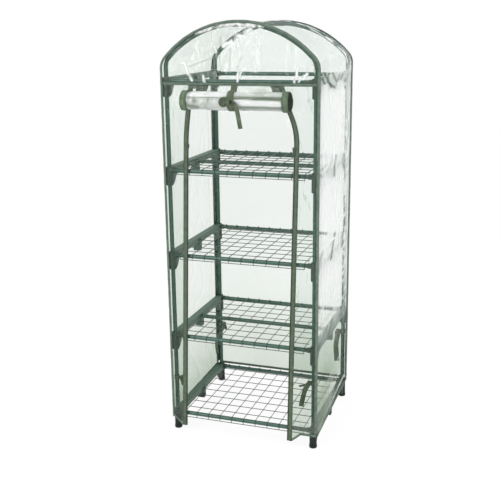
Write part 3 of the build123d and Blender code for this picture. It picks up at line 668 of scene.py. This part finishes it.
# Lamps: name, place, width, height and power
LAMPS = (("key_light", (-1.5, -2.6, 3.4), 1.6, 1.6, 30.0),
         ("strip_light", (-1.4, -3.3, 1.7), 0.3, 1.5, 12.0),
         ("side_light", (3.0, -0.4, 2.4), 0.5, 1.6, 24.0),
         ("back_light", (0.8, 3.0, 2.6), 1.6, 1.2, 8.0))


# Operators

class GREENHOUSE_OT_frame(bpy.types.Operator):
    """Coat the tubes, rails, feet, wire shelves and zip sliders"""
    bl_idname = "greenhouse.frame"
    bl_label = "Frame finishes"

    def execute(self, context):
        looks = {"frame_tube": "powder_coat", "rail_plastic": "moulded_rail", "shelf_wire": "wire_coat",
                 "zip_metal": "slider_paint"}
        for entry in frame["record"]["subparts"]:
            look = looks.get(entry["material_slot"])
            if look:
                node = frame["nodes"][entry["node"]]
                node.data.materials.clear()
                node.data.materials.append(finish(look))
        return {"FINISHED"}


def cover_folds(run, depth, x, z):
    """How far the roof and side film stands off the hoop at each point."""
    tape = bpy.context.scene.greenhouse_tape
    from_rear = FILM_HIGH.y - depth
    from_front = depth - FILM_LOW.y
    rear_flat = 36 * MM
    near = np.minimum(from_rear - rear_flat, from_front - tape.width)
    edge = fade_in(near, 0, 20 * MM)
    wall = fade_in(z, 1.38, 1.33)
    swell = 1.6 * MM * (1 + field(run, depth, 5.0, 6.0, 1.7))
    # Upright pleats beside the rear binding
    gathered = depth + 10 * MM * field(run, depth, 4.0, 8.0, 4.1)
    pleat = 1.6 * MM * (1 + np.sin(FULL_TURN * gathered / (26 * MM)))
    pleat *= bell(from_rear, 35 * MM, 30 * MM)
    # Creases that run down at a slant, and broader ones at the foot
    slant = 1.56 * MM * crease(run * 0.6 + depth, depth - 0.35 * run, 7.0, 9.0, 9.3)
    low_fold = 3.0 * MM * crease(run + 0.9 * depth, depth - 0.2 * run, 6.0, 3.0, 7.7, 0.2)
    low_fold *= fade_in(z, 0.45, 0.25)
    # Zigzag folds on the right wall, at the height of the top rail
    saw = np.abs((z - 1.33) / (50 * MM) % 2 - 1)
    zigzag = 3.0 * MM * np.abs(np.sin(math.pi * (depth + 22.5 * MM * saw) / (21 * MM)))
    zigzag *= fade_in(x, 0.20, 0.25) * bell(z, TOP_Z, 35 * MM)
    # Puckers along the bindings' stitches, and the roof's sag between the hoops
    pucker = 1.4 * MM * np.maximum(0, field(run, depth, 38.0, 9.0, 2.9))
    pucker *= np.exp(-near / (35 * MM)) * (near > 0)
    middle = np.sin(math.pi * from_front / (FILM_HIGH.y - FILM_LOW.y)) ** 2
    sag = 5.0 * MM * fade_in(z, 1.45, 1.51) * middle
    return (swell + pleat + slant + zigzag + low_fold) * edge * (0.4 + 0.6 * wall) + pucker - sag


def cover_marks(run, depth, x, z):
    """Marks of the roof and side film: painted sheen on the right wall broken by streaks, painted grey shade low
    on the walls, and painted glare at the foot and glints on the roof.
    """
    from_rear = FILM_HIGH.y - depth
    right = x > 0
    # Painted sheen on the right wall, by height, broken by the drawn streaks and the rear crinkle
    sheen_milk = graded(z, (0.05, 0.0), (0.30, 0.02), (0.40, 0.15), (0.50, 0.60), (0.62, 1.0), (1.30, 1.0),
                  (1.36, 0.90), (1.42, 0.20), (1.50, 0.05))
    streak = strokes(depth, z, WALL_STREAKS, WALL_SQUEEZE) * right
    crinkle_line = 125 * MM + 20 * MM * field(run, depth, 5.0, 2.0, 3.9)
    crinkle = bell(from_rear, crinkle_line, 45 * MM) * graded(z, (0.4, 0.95), (0.8, 0.95), (1.25, 0.6))
    crinkle *= np.clip(0.75 + 1.6 * field(run, depth, 55.0, 22.0, 8.8), 0, 1)
    veil = np.where(right, sheen_milk * (1 - np.maximum(streak, 0.95 * crinkle)), 0.18)
    # Painted grey shade, heavy at the foot of the walls
    right_painted_shade = graded(z, (0.05, 0.72), (0.20, 0.68), (0.32, 0.26), (0.45, 0.08), (0.60, 0.01),
                        (1.36, 0.01), (1.45, 0.04))
    right_painted_shade *= graded(from_rear, (0.15, 0.20), (0.40, 1.0))
    left_painted_shade = graded(z, (0.10, 0.50), (0.22, 0.30), (0.33, 0.20), (0.42, 0.12), (0.60, 0.08))
    # Painted glare along the right wall's foot and its drawn gleams
    foot = 0.32 * fade_in(z, 0.24, 0.18) * fade_in(from_rear, 0.20, 0.30)
    foot = np.maximum(foot, strokes(depth, z, WALL_GLEAMS, WALL_SQUEEZE))
    # Painted glints on the roof over the rear hoop
    glint = np.clip(3.5 * field(run, depth, 30.0, 45.0, 4.4) - 0.3, 0, 1) * bell(from_rear, 85 * MM, 35 * MM)
    glare = np.where(right, foot + 0.8 * glint * fade_in(z, 1.40, 1.43), 0.004)
    return marked(x, veil, glare, np.where(right, right_painted_shade, left_painted_shade), np.where(right, 0.22, 0.18))


class GREENHOUSE_OT_cover(bpy.types.Operator):
    """Hang the film over the roof and both sides"""
    bl_idname = "greenhouse.cover"
    bl_label = "Roof and side film"

    def execute(self, context):
        film = context.scene.greenhouse_film
        tape = context.scene.greenhouse_tape
        total = hoop_length()
        columns = int((FILM_HIGH.y - FILM_LOW.y) / film.grid)
        share = np.linspace(0, 1, columns)[None, :]
        start = tape.left_hem + (tape.rear_hem - tape.left_hem) * share + tape.hem
        end = total - (tape.right_hem + (tape.rear_hem - tape.right_hem) * share + tape.hem)
        run = start + (end - start) * np.linspace(0, 1, int(total / film.grid))[:, None]
        depth = np.broadcast_to(FILM_LOW.y + (FILM_HIGH.y - FILM_LOW.y) * share, run.shape)
        x, z, normal_x, normal_z = hoop(run)
        lift = cover_folds(run, depth, x, z)
        points = combined(x + normal_x * lift, depth, z + normal_z * lift)
        marks = cover_marks(run, depth, x, z)
        sheet = grid_piece("roof_and_side_film", points, film.thickness, marks=marks)
        fitted(sheet, "soft_vinyl", "clear_film", "roof_and_side_sheet")
        return {"FINISHED"}


def arch_sheet(name, y, low, step, out, lift, marks):
    """A sheet that fills the hoop above a height, lifted and marked by functions of place."""
    half = FILM_HIGH.x
    x = np.linspace(-half, half, int(2 * half / step))[None, :]
    top = arch_height(x)
    z = low + (top - low) * np.linspace(0, 1, int((FILM_HIGH.z - low) / step))[:, None]
    x = np.broadcast_to(x, z.shape)
    points = combined(x, y + out * lift(x, z, top), z)
    area = float(np.trapz(top[0] - low, x[0]))
    turn = outward(out)
    thickness = bpy.context.scene.greenhouse_film.thickness
    return grid_piece(name, points[turn], thickness, marks=marks(x, z)[turn]), area


class GREENHOUSE_OT_rear_film(bpy.types.Operator):
    """Hang the rear sheet"""
    bl_idname = "greenhouse.rear_film"
    bl_label = "Rear film"

    def execute(self, context):
        tape = context.scene.greenhouse_tape
        low = tape.rear_hem + tape.hem

        def lift(x, z, top):
            edge = fade_in(np.minimum(FILM_HIGH.x - np.abs(x), top - z), 0, 30 * MM)
            broad = 2.0 * MM * field(x, z, 5.0, 3.0, 6.6)
            folds = 2.4 * MM * crease(x + 0.25 * z, z, 9.0, 3.0, 3.3)
            return (broad + folds) * edge

        def marks(x, z):
            # Painted grey shade, greyer towards the floor, with some random variation
            painted_shade = graded(z, (0.08, 0.32), (0.25, 0.28), (0.45, 0.13), (0.60, 0.09),
                          (1.25, 0.09), (1.40, 0.04))
            return marked(x, 0.3, 0.004, painted_shade * (1 + 0.3 * field(x, z, 4.0, 2.0, 1.5)), 0.04)

        step = context.scene.greenhouse_film.grid
        sheet, area = arch_sheet("rear_film", REAR_FILM_Y, low, step, 1, lift, marks)
        fitted(sheet, "soft_vinyl", "clear_film", "rear_sheet")
        return {"FINISHED"}


class GREENHOUSE_OT_lunette(bpy.types.Operator):
    """Stretch the front lunette above the door"""
    bl_idname = "greenhouse.lunette"
    bl_label = "Front lunette"

    def execute(self, context):
        def lift(x, z, top):
            nearest = np.minimum(FILM_HIGH.x - np.abs(x), np.minimum(top - z, z - HEADER_Z))
            broad = 1.8 * MM * (1 + field(x, z, 7.0, 7.0, 8.1))
            fan = 2.8 * MM * crease(x - 0.5 * (z - HEADER_Z), z, 16.0, 5.0, 5.7)
            return (broad + fan) * fade_in(nearest, 0, 20 * MM)

        def marks(x, z):
            stray = 5.0 * MM * field(x, z, 45.0, 45.0, 7.1)
            # Painted glare: white streaks drawn on the lunette; painted shade along its wrinkles
            glare = strokes(x + stray, z - stray, LUNETTE_GLARE)
            glare *= np.clip(0.9 + 1.2 * field(x, z, 70.0, 45.0, 2.4), 0.25, 1)
            return marked(x, 0.3, glare + 0.004, strokes(x, z, LUNETTE_WRINKLE_SHADE), 0.16)

        step = context.scene.greenhouse_film.grid / 2
        sheet, area = arch_sheet("front_lunette_film", FRONT_FILM_Y, HEADER_Z, step, -1, lift, marks)
        fitted(sheet, "soft_vinyl", "clear_film", "front_lunette")
        return {"FINISHED"}


def zip_curve(side, heights):
    """Places across of a zip's teeth at heights: straight below the bend, then in and up behind the roll."""
    tape = bpy.context.scene.greenhouse_tape
    hand = dict(HANDS)[side]
    joints = {joint["name"]: joint for joint in frame["joints"]}
    slide = joints[f"zip_run_{hand}"]["axis"]
    pin = joints[f"pull_flip_{hand}"]["pos_m"]
    low_hang, neck_hang, seam_hang = (side * hang * MM for hang in ZIP_HANG[side])
    line = pin[0] + (heights - pin[2]) * slide[0] / slide[2] - low_hang
    lean = fade_in(heights, RING_LOW.z, HEADER_Z)
    neck = centre(f"door_zip_roll_{hand}").x - neck_hang - (seam_hang - neck_hang) * lean
    share = fade_in(heights, TOP_Z - tape.zip_bend, TOP_Z - tape.zip_neck)
    return line + (neck - line) * share ** 2


def strip_hem_height(side, x):
    """Height of a front strip's lower edge, which rises from the zip's end to its knee."""
    tape = bpy.context.scene.greenhouse_tape
    start = abs(zip_curve(side, ZIP_LOW)) + tape.zip_width
    knee = min(tape.hem_knee, FILM_HIGH.x - tape.width - start)
    return ZIP_LOW + (tape.strip_hem - ZIP_LOW) * fade_in(np.abs(x), start, start + knee)


class GREENHOUSE_OT_front_strips(bpy.types.Operator):
    """Hang the two front strips beside the door"""
    bl_idname = "greenhouse.front_strips"
    bl_label = "Front strips"

    def execute(self, context):
        film = context.scene.greenhouse_film
        tape = context.scene.greenhouse_tape
        share = np.linspace(0, 1, 18)[None, :]
        level = np.linspace(0, 1, int((HEADER_Z - tape.strip_hem) / film.grid))[:, None]
        for side, hand in HANDS:
            outer = side * FILM_HIGH.x
            sewn = side * (tape.zip_width - 2 * MM)
            foot = zip_curve(side, ZIP_LOW) + sewn
            low = strip_hem_height(side, foot + (outer - foot) * share) + 0.8 * tape.hem
            z = low + (HEADER_Z - low) * level
            inner = zip_curve(side, z[:, :1]) + sewn
            x = inner + (outer - inner) * share
            free = np.clip(np.minimum(share, 1 - share) * 5, 0, 1)
            hang = fade_in(z, tape.strip_hem + 0.25, tape.strip_hem)
            folds = 2.5 * MM * field(x, z, 26.0, 3.0, 3.0 + side)
            folds += 2.2 * MM * crease(x + 0.2 * z, z, 12.0, 4.0, 6.0 + side)
            crumple = 3.5 * MM * hang * field(x, z, 40.0, 22.0, 1.0 + side)
            out = np.maximum(free * (folds + crumple + 1.2 * MM), -0.4 * MM)
            points = combined(x, FRONT_FILM_Y - out, z)
            # Painted glare at the foot, and painted grey shade by height and over the crumpled hem
            glare = STRIP_GLARE[side] * fade_in(z, 0.15, 0.06)
            painted_shade = np.interp(z, STRIP_HEIGHTS, STRIP_PAINTED_SHADE[side])
            painted_shade += 0.30 * hang * np.maximum(0, field(x, z, 45.0, 30.0, 5.0 + side))
            marks = marked(x, 0.3, glare, painted_shade, 0.25)
            turn = outward(side)
            sheet = grid_piece(f"front_strip_film_{hand}", points[turn], film.thickness, marks=marks[turn])
            fitted(sheet, "soft_vinyl", "clear_film", f"front_strip_{hand}")
        return {"FINISHED"}


class GREENHOUSE_OT_zips(bpy.types.Operator):
    """Sew the zip tapes and their rows of teeth to the strips"""
    bl_idname = "greenhouse.zips"
    bl_label = "Zips"
    tooth_pitch: length_setting("Tooth pitch", "Distance from one tooth to the next", 2.6)

    def execute(self, context):
        zip_width = context.scene.greenhouse_tape.zip_width
        pitch = self.tooth_pitch
        low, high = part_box("zip_tape_left")
        y = (low.y + high.y) / 2
        z = np.linspace(low.z, high.z, 220)[:, None]
        spread = np.linspace(0, 1, 8)
        belly = MM * graded(spread, (0, 0.0), (0.2, 0.7), (0.45, 1.0), (0.75, 2.3), (1, 0.4))
        heights = np.arange(low.z + pitch, high.z - pitch, pitch)
        for side, hand in HANDS:
            points = combined(zip_curve(side, z) + side * zip_width * spread, y - belly, z)
            uv = combined((spread - 0.5) * zip_width, z)
            turn = outward(side)
            cloth = grid_piece(f"zip_tape_cloth_{hand}", points[turn], 1.0 * MM, uv[turn])
            fitted(cloth, "zip_cloth", "zip_tape", f"zip_tape_{hand}")

            corners = [(side * reach * MM, deep * slim * MM, rise * slim * pitch)
                       for reach, slim in ((1.4, 1.0), (-1.4, 0.75))
                       for rise in (-0.34, 0.34) for deep in (-1.1, 1.1)]
            spots = combined(zip_curve(side, heights), y, heights)
            points = (spots[:, None] + np.array(corners)).reshape(-1, 3)
            first = len(corners) * np.arange(len(spots))[:, None, None]
            faces = (np.array(TOOTH_FACES)[:, ::-side] + first).reshape(-1, 4)
            teeth = mesh_piece(f"zip_teeth_{hand}", points.tolist(), faces.tolist())
            fitted(teeth, "zip_teeth", "zip_tape")
        return {"FINISHED"}


def binding_strip(name, face_y, deep, low, reach):
    """A tape folded round one end of the cover: a leg on its face, and one behind, broader on walls."""
    tape = bpy.context.scene.greenhouse_tape
    total = hoop_length()
    run = np.linspace(low, total - low, int(total / (7 * MM)))[:, None]
    x, z, normal_x, normal_z = hoop(run)
    proud = tape.thickness / 2 + 0.2 * MM
    end_leg = [(proud - tape.width * share, -proud) for share in (1.0, 0.6, 0.25)]
    bend = [(-0.6 * MM, -proud), (proud * 0.6, -proud * 0.6), (proud, 0.6 * MM)]
    side_leg = [(proud, tape.width * 0.25), (proud, tape.width * 0.6), (proud, tape.width - proud)]
    legs = np.array(end_leg + bend + side_leg)
    grow, back = legs.T
    broad = np.interp(z, (TOP_Z - 20 * MM, TOP_Z + 70 * MM), (reach, 1.0))
    back = back * np.where(back > 0, broad, 1.0)
    wave = 0.35 * MM * field(run, grow + back, 55.0, 40.0, deep + 2.5)
    grow = grow + wave
    points = combined(x + normal_x * grow, face_y + deep * (back - wave), z + normal_z * grow)
    steps = run_along(legs)
    uv = combined(steps - steps[-1] / 2, run)
    turn = outward(deep)
    return grid_piece(name, points[turn], tape.thickness, uv[turn])


class GREENHOUSE_OT_seams(bpy.types.Operator):
    """Fold the bindings round both ends, and sew the hems and the door seam"""
    bl_idname = "greenhouse.seams"
    bl_label = "Bindings, hems and door seam"

    def execute(self, context):
        tape = context.scene.greenhouse_tape
        front = binding_strip("front_binding_tape", FRONT_FACE_Y, 1, tape.strip_hem + tape.hem, 1.0)
        fitted(front, "binding_cloth", "seam_tape", "front_binding")
        rear = binding_strip("rear_binding_tape", REAR_FACE_Y, -1, tape.rear_hem + tape.hem, 3.7)
        fitted(rear, "binding_cloth", "seam_tape", "rear_binding")

        inset = FILM_HIGH.x - tape.width
        path = combined(np.linspace(-inset, inset, 90), FRONT_FACE_Y - 0.9 * MM, HEADER_Z + tape.hem / 2)
        header = ribbon("door_seam_tape", path, UP, tape.hem, tape.thickness)
        fitted(header, "hem_cloth", "seam_tape", "door_header_tape")

        paths = []
        for side, low in ((-1, tape.left_hem), (1, tape.right_hem)):
            y = np.linspace(FILM_LOW.y + tape.width, FILM_HIGH.y - tape.width, 60)
            share = (y - FILM_LOW.y) / (FILM_HIGH.y - FILM_LOW.y)
            z = low + (tape.rear_hem - low) * share + tape.hem / 2
            flutter = 1.2 * MM * (1 + field(y, z, 18.0, 1.0, 7.0 + side))
            paths.append(combined(side * (FILM_HIGH.x + 0.6 * MM + flutter), y, z))
            foot = zip_curve(side, ZIP_LOW) + side * (tape.zip_width + 0.3 * MM)
            x = np.linspace(foot, side * FILM_HIGH.x, 24)
            flutter = 1.5 * MM * (1 + field(x, x, 30.0, 0.0, 4.0 + side))
            z = strip_hem_height(side, x) + tape.hem / 2 + 1.5 * MM * field(x, x, 18.0, 0.0, 9.0 + side)
            paths.append(combined(x, FRONT_FILM_Y - 0.6 * MM - flutter, z))
        x = np.linspace(-inset, inset, 70)
        flutter = 1.2 * MM * (1 + field(x, x, 14.0, 0.0, 5.0))
        paths.append(combined(x, REAR_FILM_Y + flutter, tape.rear_hem + tape.hem / 2))
        hems = [ribbon("hem", path, UP, tape.hem, 1.8 * MM) for path in paths]
        fitted(joined("hem_tape_strips", hems), "hem_cloth", "seam_tape", "hem_tapes")
        return {"FINISHED"}


# Points of a rolled leaf above the place where it meets the roll
LEAF_POINTS = 7


def roll_section(radius, pitch, turns, seam_y):
    """Points of a leaf that comes down from a seam and winds into a roll, with each point's angle."""
    seam = np.array([seam_y, HEADER_Z - 0.5 * MM])
    middle = np.array(roll_centre())
    away_y, away_z = seam - middle
    start = math.atan2(away_z, away_y) - math.acos(min(1.0, radius / math.hypot(away_y, away_z)))
    touch = middle + radius * np.array([math.cos(start), math.sin(start)])
    leaf = seam + (touch - seam) * np.arange(LEAF_POINTS)[:, None] / LEAF_POINTS
    step = math.radians(5)
    outer = np.arange(0, FULL_TURN, step)
    angles = np.concatenate([outer, np.arange(FULL_TURN, turns * FULL_TURN, 3 * step)])
    wind = (radius - pitch * angles / FULL_TURN)[:, None]
    spiral = middle + wind * combined(np.cos(start - angles), np.sin(start - angles))
    return np.concatenate([leaf, spiral]), np.concatenate([np.zeros(LEAF_POINTS), angles])


class GREENHOUSE_OT_door_roll(bpy.types.Operator):
    """Roll up the door: its film, and its zip tapes wound at both ends"""
    bl_idname = "greenhouse.door_roll"
    bl_label = "Rolled door"
    turns: bpy.props.FloatProperty(name="Turns", description="Turns of film in the roll", default=9.4)
    core: length_setting("Core", "Radius left open in the middle", 8.0)

    def roll_film(self):
        """The film between the wound zip tapes, dented and folded."""
        centre_y, centre_z = roll_centre()
        radius = centre_z - ROLL_LOW.z
        pitch = (radius - self.core) / self.turns
        section, turn = roll_section(radius - 0.6 * MM, pitch, self.turns, FRONT_FILM_Y - 1.2 * MM)
        columns = np.linspace(ROLL_LOW.x - 4 * MM, ROLL_HIGH.x + 4 * MM, 84)
        x, y, z, angle = columns[None, :], section[:, :1], section[:, 1:], turn[:, None]
        out_y, out_z = y - centre_y, z - centre_z
        span = np.hypot(out_y, out_z)
        bearing = np.arctan2(out_z, out_y)
        dent = -2.6 * MM * crease(x + 0.03 * np.sin(bearing * 2), np.sin(bearing), 9.0, 2.2, 2.2, 0.16)
        dent += 1.0 * MM * field(x, np.cos(bearing) + angle * 0.05, 18.0, 2.0, 5.5)
        groove = bell(np.abs(bearing), 2.86 + 0.05 * np.sin(x * 40), 0.07) * (bearing > 0)
        dent -= 4.0 * MM * groove * fade_in(x, -10 * MM, 10 * MM)
        dent *= fade_in(angle, 0, 1.2) * span / radius
        points = combined(x, y + out_y / span * dent, z + out_z / span * dent)
        # Painted shade along the drawn folds and painted shine along the drawn streaks, on the roll's front
        fold = strokes(x, z, ROLL_FOLD_SHADE) * (y < centre_y)
        shine = strokes(x, z, ROLL_SHINE) * (y < centre_y)
        mottle = field(x, z, 16.0, 60.0, 6.1)
        # White scatter over the outer turns, partly the many layers of film and partly painted glare, with random
        # mottle
        glare = np.clip(0.5 + 0.3 * mottle + shine, 0, 1) * np.clip(angle / 0.35, 0.06, 1)
        # Painted grey shade: the folds and random mottle, less under the painted shine
        painted_shade = np.clip(1.2 * fold + 0.45 * mottle - shine, 0, 1)
        marks = marked(mottle, 0.5, glare, painted_shade, 0.8 * np.clip(angle, 0, 1))
        rolled = grid_piece("door_roll_film", points, 0.4 * MM, marks=marks)
        fitted(rolled, "rolled_film", "clear_film", "door_roll")

    def wind_edge(self, hand, phase):
        """One edge of the door: a clear leaf under the seam, and the zip tape wound below it."""
        low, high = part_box(f"door_zip_roll_{hand}")
        radius = bpy.context.scene.greenhouse_tape.ring / 2
        pitch = (radius - self.core) / self.turns
        section, turn = roll_section(radius - 1.2 * MM, pitch, self.turns, FRONT_FILM_Y - 2.9 * MM)
        wide = high.x - low.x
        spread = np.linspace(-0.5, 0.5, 7)
        shift = 1.4 * MM * np.sin(turn * 1.7 + phase)
        x = (low.x + high.x) / 2 + wide * 0.92 * spread + shift[:, None]
        bulge = 0.6 * MM * (1 - (2 * spread) ** 2)
        out = unit(section - np.array(roll_centre()))
        points = combined(x, section[:, :1] + out[:, :1] * bulge, section[:, 1:] + out[:, 1:] * bulge)
        run = run_along(section)
        uv = combined(spread * wide, run[:, None])
        clear = slice(LEAF_POINTS + 1)
        wound = slice(LEAF_POINTS - 1, None)
        leaf_marks = marked(x[clear], 0.3, 0.02, 0.02, 0.0)
        leaf = grid_piece(f"door_edge_film_{hand}", points[clear], 0.6 * MM, marks=leaf_marks)
        fitted(leaf, "soft_vinyl", "clear_film")
        ring = grid_piece(f"door_zip_winding_{hand}", points[wound], 2.0 * MM, uv[wound])
        fitted(ring, "wound_cloth_painted_light", "zip_tape", f"door_zip_roll_{hand}")

    def execute(self, context):
        self.roll_film()
        self.wind_edge("left", 0.8)
        self.wind_edge("right", 2.6)
        return {"FINISHED"}


class GREENHOUSE_OT_roll_tie(bpy.types.Operator):
    """Tie the roll up with a strap and a bow"""
    bl_idname = "greenhouse.roll_tie"
    bl_label = "Roll tie and bow"

    def execute(self, context):
        centre_y, centre_z = roll_centre()
        radius = centre_z - ROLL_LOW.z + 0.9 * MM
        seam_y = FRONT_FILM_Y - 4.0 * MM
        strap_x = -8.0 * MM
        sewn_x = strap_x - 2 * MM
        sewn = [(sewn_x, seam_y, HEADER_Z + 6 * MM), (sewn_x, seam_y - 2 * MM, HEADER_Z + 1 * MM)]
        degrees = np.linspace(62, 330, 26)
        turn = np.radians(degrees)
        drift = 4 * MM * fade_in(degrees, 62, 162)
        wrapped = combined(strap_x + drift, centre_y + radius * np.cos(turn),
                           centre_z + radius * np.sin(turn))
        pieces = [ribbon("roll_strap", np.concatenate([sewn, wrapped]), ACROSS, 24 * MM, 1.0 * MM, 7)]

        face = centre_y - radius - 6.5 * MM
        for across, rise, half_width, half_height, lean, width, thickness in BOW_LOOPS:
            path = closed_path((across * MM, face, centre_z + rise * MM), (half_width * MM, 0, 0),
                               (0, 1.2 * MM, half_height * MM), 44)
            side = unit(np.array(lean))
            pieces.append(ribbon("bow_loop", path, side, width * MM, thickness * MM, 7, 2.0 * MM))
        knot = closed_path((-7 * MM, face, centre_z - 1 * MM), (0, 5.5 * MM, 0), (0, 0, 8 * MM), 32)
        pieces.append(ribbon("bow_knot", knot, (1, 0, 0.15), 10 * MM, 2.0 * MM, camber=1.2 * MM))
        spots = [(across * MM, face + deep * MM, centre_z + rise * MM) for across, deep, rise in BOW_TAIL]
        pieces.append(loose_tail("bow_tail", spots, (0, -1, 0), 16 * MM, 1.5 * MM))
        fitted(joined("roll_tie_tape", pieces), "tie_cloth", "tie_webbing", "roll_tie")
        return {"FINISHED"}


class GREENHOUSE_OT_straps(bpy.types.Operator):
    """Hang the two spare straps behind the roll"""
    bl_idname = "greenhouse.straps"
    bl_label = "Spare straps"
    width: length_setting("Strap width", "Width of a spare strap", 43.0)

    def execute(self, context):
        for side, hand in HANDS:
            low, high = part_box(f"hang_strap_{hand}")
            y = (low.y + high.y) / 2
            ends = (low.x + self.width / 2, high.x - self.width / 2)
            top, foot = ends[::side]
            bend = (top * 0.7 + foot * 0.3, y, high.z - 22 * MM)
            path = smooth_path([(top, y, high.z), bend, (foot, y, low.z)])
            strap = ribbon(f"spare_strap_{hand}", path, ACROSS, self.width, 1.0 * MM, 7)
            fitted(strap, "tie_cloth", "tie_webbing", f"hang_strap_{hand}")
        return {"FINISHED"}


class GREENHOUSE_OT_corner_ties(bpy.types.Operator):
    """Tie the cover to the four posts"""
    bl_idname = "greenhouse.corner_ties"
    bl_label = "Corner ties"

    def execute(self, context):
        for row, y in (("front", FRONT_Y), ("rear", REAR_Y)):
            pieces = []
            for side in (-1, 1):
                height, tails = CORNER_TIES[row, side]
                z = height * MM
                ring = closed_path((side * POST_X, y, z), (9.4 * MM, 0, 0), (0, 9.4 * MM, 2.5 * MM), 36)
                pieces.append(ribbon("tie_ring", ring, UP, 15 * MM, 1.2 * MM))
                knot_x = side * (POST_X - 17 * MM)
                knot = closed_path((knot_x, y, z), (6 * MM, 0, 2 * MM), (0, 4.6 * MM, 0), 28)
                for turned, width in ((UP, 12 * MM), ((0.8, 0, 0.6), 9 * MM)):
                    pieces.append(ribbon("tie_knot", knot, turned, width, 1.8 * MM, camber=1.2 * MM))
                for width, *steps in tails:
                    spots = [(knot_x - side * reach * MM, y + deep * MM, z + rise * MM)
                             for reach, deep, rise in ((0, -3, 0), *steps)]
                    pieces.append(loose_tail("tie_tail", spots, (-0.3, 1, 0), width * MM, 1.4 * MM))
            fitted(joined(f"{row}_tie_tapes", pieces), "tie_cloth", "tie_webbing", f"{row}_corner_ties")
        return {"FINISHED"}


class GREENHOUSE_OT_stage(bpy.types.Operator):
    """Set the floor, the light and the camera"""
    bl_idname = "greenhouse.stage"
    bl_label = "Stage"

    def execute(self, context):
        scene = context.scene
        stage = scene.greenhouse_stage
        scene.view_settings.view_transform = "Standard"
        scene.cycles.transparent_max_bounces = 32

        reach = 12.0
        corners = [(-reach, -reach, 0), (reach, -reach, 0), (reach, reach, 0), (-reach, reach, 0)]
        floor = mesh_piece("floor", corners, [(0, 1, 2, 3)])
        floor.data.materials.append(finish("pale_floor"))

        scene.world = bpy.data.worlds.new("studio")
        tree = blank_tree(scene.world)
        light = put(tree, "ShaderNodeBackground", color=WHITE, strength=0.95)
        white = put(tree, "ShaderNodeBackground", color=WHITE, strength=1.0)
        put(tree, "ShaderNodeOutputWorld", surface=mix(tree, seen(tree), light, white).outputs[0])

        middle = (CAD_BOX[0] + CAD_BOX[1]) / 2
        for name, spot, wide, tall, power in LAMPS:
            lamp = bpy.data.lights.new(name, "AREA")
            lamp.shape = "RECTANGLE"
            lamp.size = wide
            lamp.size_y = tall
            lamp.energy = power
            holder = bpy.data.objects.new(name, lamp)
            holder.location = spot
            holder.rotation_mode = "QUATERNION"
            holder.rotation_quaternion = (middle - Vector(spot)).to_track_quat("-Z", "Y")
            scene.collection.objects.link(holder)

        lens = bpy.data.cameras.new("camera")
        lens.sensor_width = 36.0
        lens.lens = stage.lens
        camera = bpy.data.objects.new("camera", lens)
        turn = Matrix.Rotation(stage.azimuth, 4, "Z")
        tilt = Matrix.Rotation(math.pi / 2 - stage.elevation, 4, "X")
        roll = Matrix.Rotation(stage.roll, 4, "Z")
        camera.matrix_world = Matrix.Translation(stage.eye) @ turn @ tilt @ roll
        scene.collection.objects.link(camera)
        scene.camera = camera
        return {"FINISHED"}


class GREENHOUSE_PT_panel(bpy.types.Panel):
    """The pieces of the greenhouse"""
    bl_label = "Greenhouse"
    bl_idname = "GREENHOUSE_PT_panel"
    bl_space_type = "VIEW_3D"
    bl_region_type = "UI"
    bl_category = "Greenhouse"

    def draw(self, context):
        for operator in OPERATORS:
            self.layout.operator(operator.bl_idname)


GROUPS = {"greenhouse_film": GreenhouseFilm, "greenhouse_tape": GreenhouseTape,
          "greenhouse_frame": GreenhouseFrame, "greenhouse_stage": GreenhouseStage}
OPERATORS = (GREENHOUSE_OT_frame, GREENHOUSE_OT_cover, GREENHOUSE_OT_rear_film, GREENHOUSE_OT_lunette,
             GREENHOUSE_OT_front_strips, GREENHOUSE_OT_zips, GREENHOUSE_OT_seams, GREENHOUSE_OT_door_roll,
             GREENHOUSE_OT_roll_tie, GREENHOUSE_OT_straps, GREENHOUSE_OT_corner_ties, GREENHOUSE_OT_stage)
CLASSES = (*GROUPS.values(), *OPERATORS, GREENHOUSE_PT_panel)


def register():
    for item in CLASSES:
        bpy.utils.register_class(item)
    for name, group in GROUPS.items():
        setattr(bpy.types.Scene, name, bpy.props.PointerProperty(type=group))


def unregister():
    for name in GROUPS:
        delattr(bpy.types.Scene, name)
    for item in reversed(CLASSES):
        bpy.utils.unregister_class(item)


def main():
    register()
    bpy.ops.greenhouse.stage()
    bpy.ops.greenhouse.frame()
    bpy.ops.greenhouse.seams()
    bpy.ops.greenhouse.cover()
    bpy.ops.greenhouse.rear_film()
    bpy.ops.greenhouse.lunette()
    bpy.ops.greenhouse.front_strips()
    bpy.ops.greenhouse.zips()
    bpy.ops.greenhouse.door_roll()
    bpy.ops.greenhouse.roll_tie()
    bpy.ops.greenhouse.straps()
    bpy.ops.greenhouse.corner_ties()


if __name__ == "__main__":
    main()
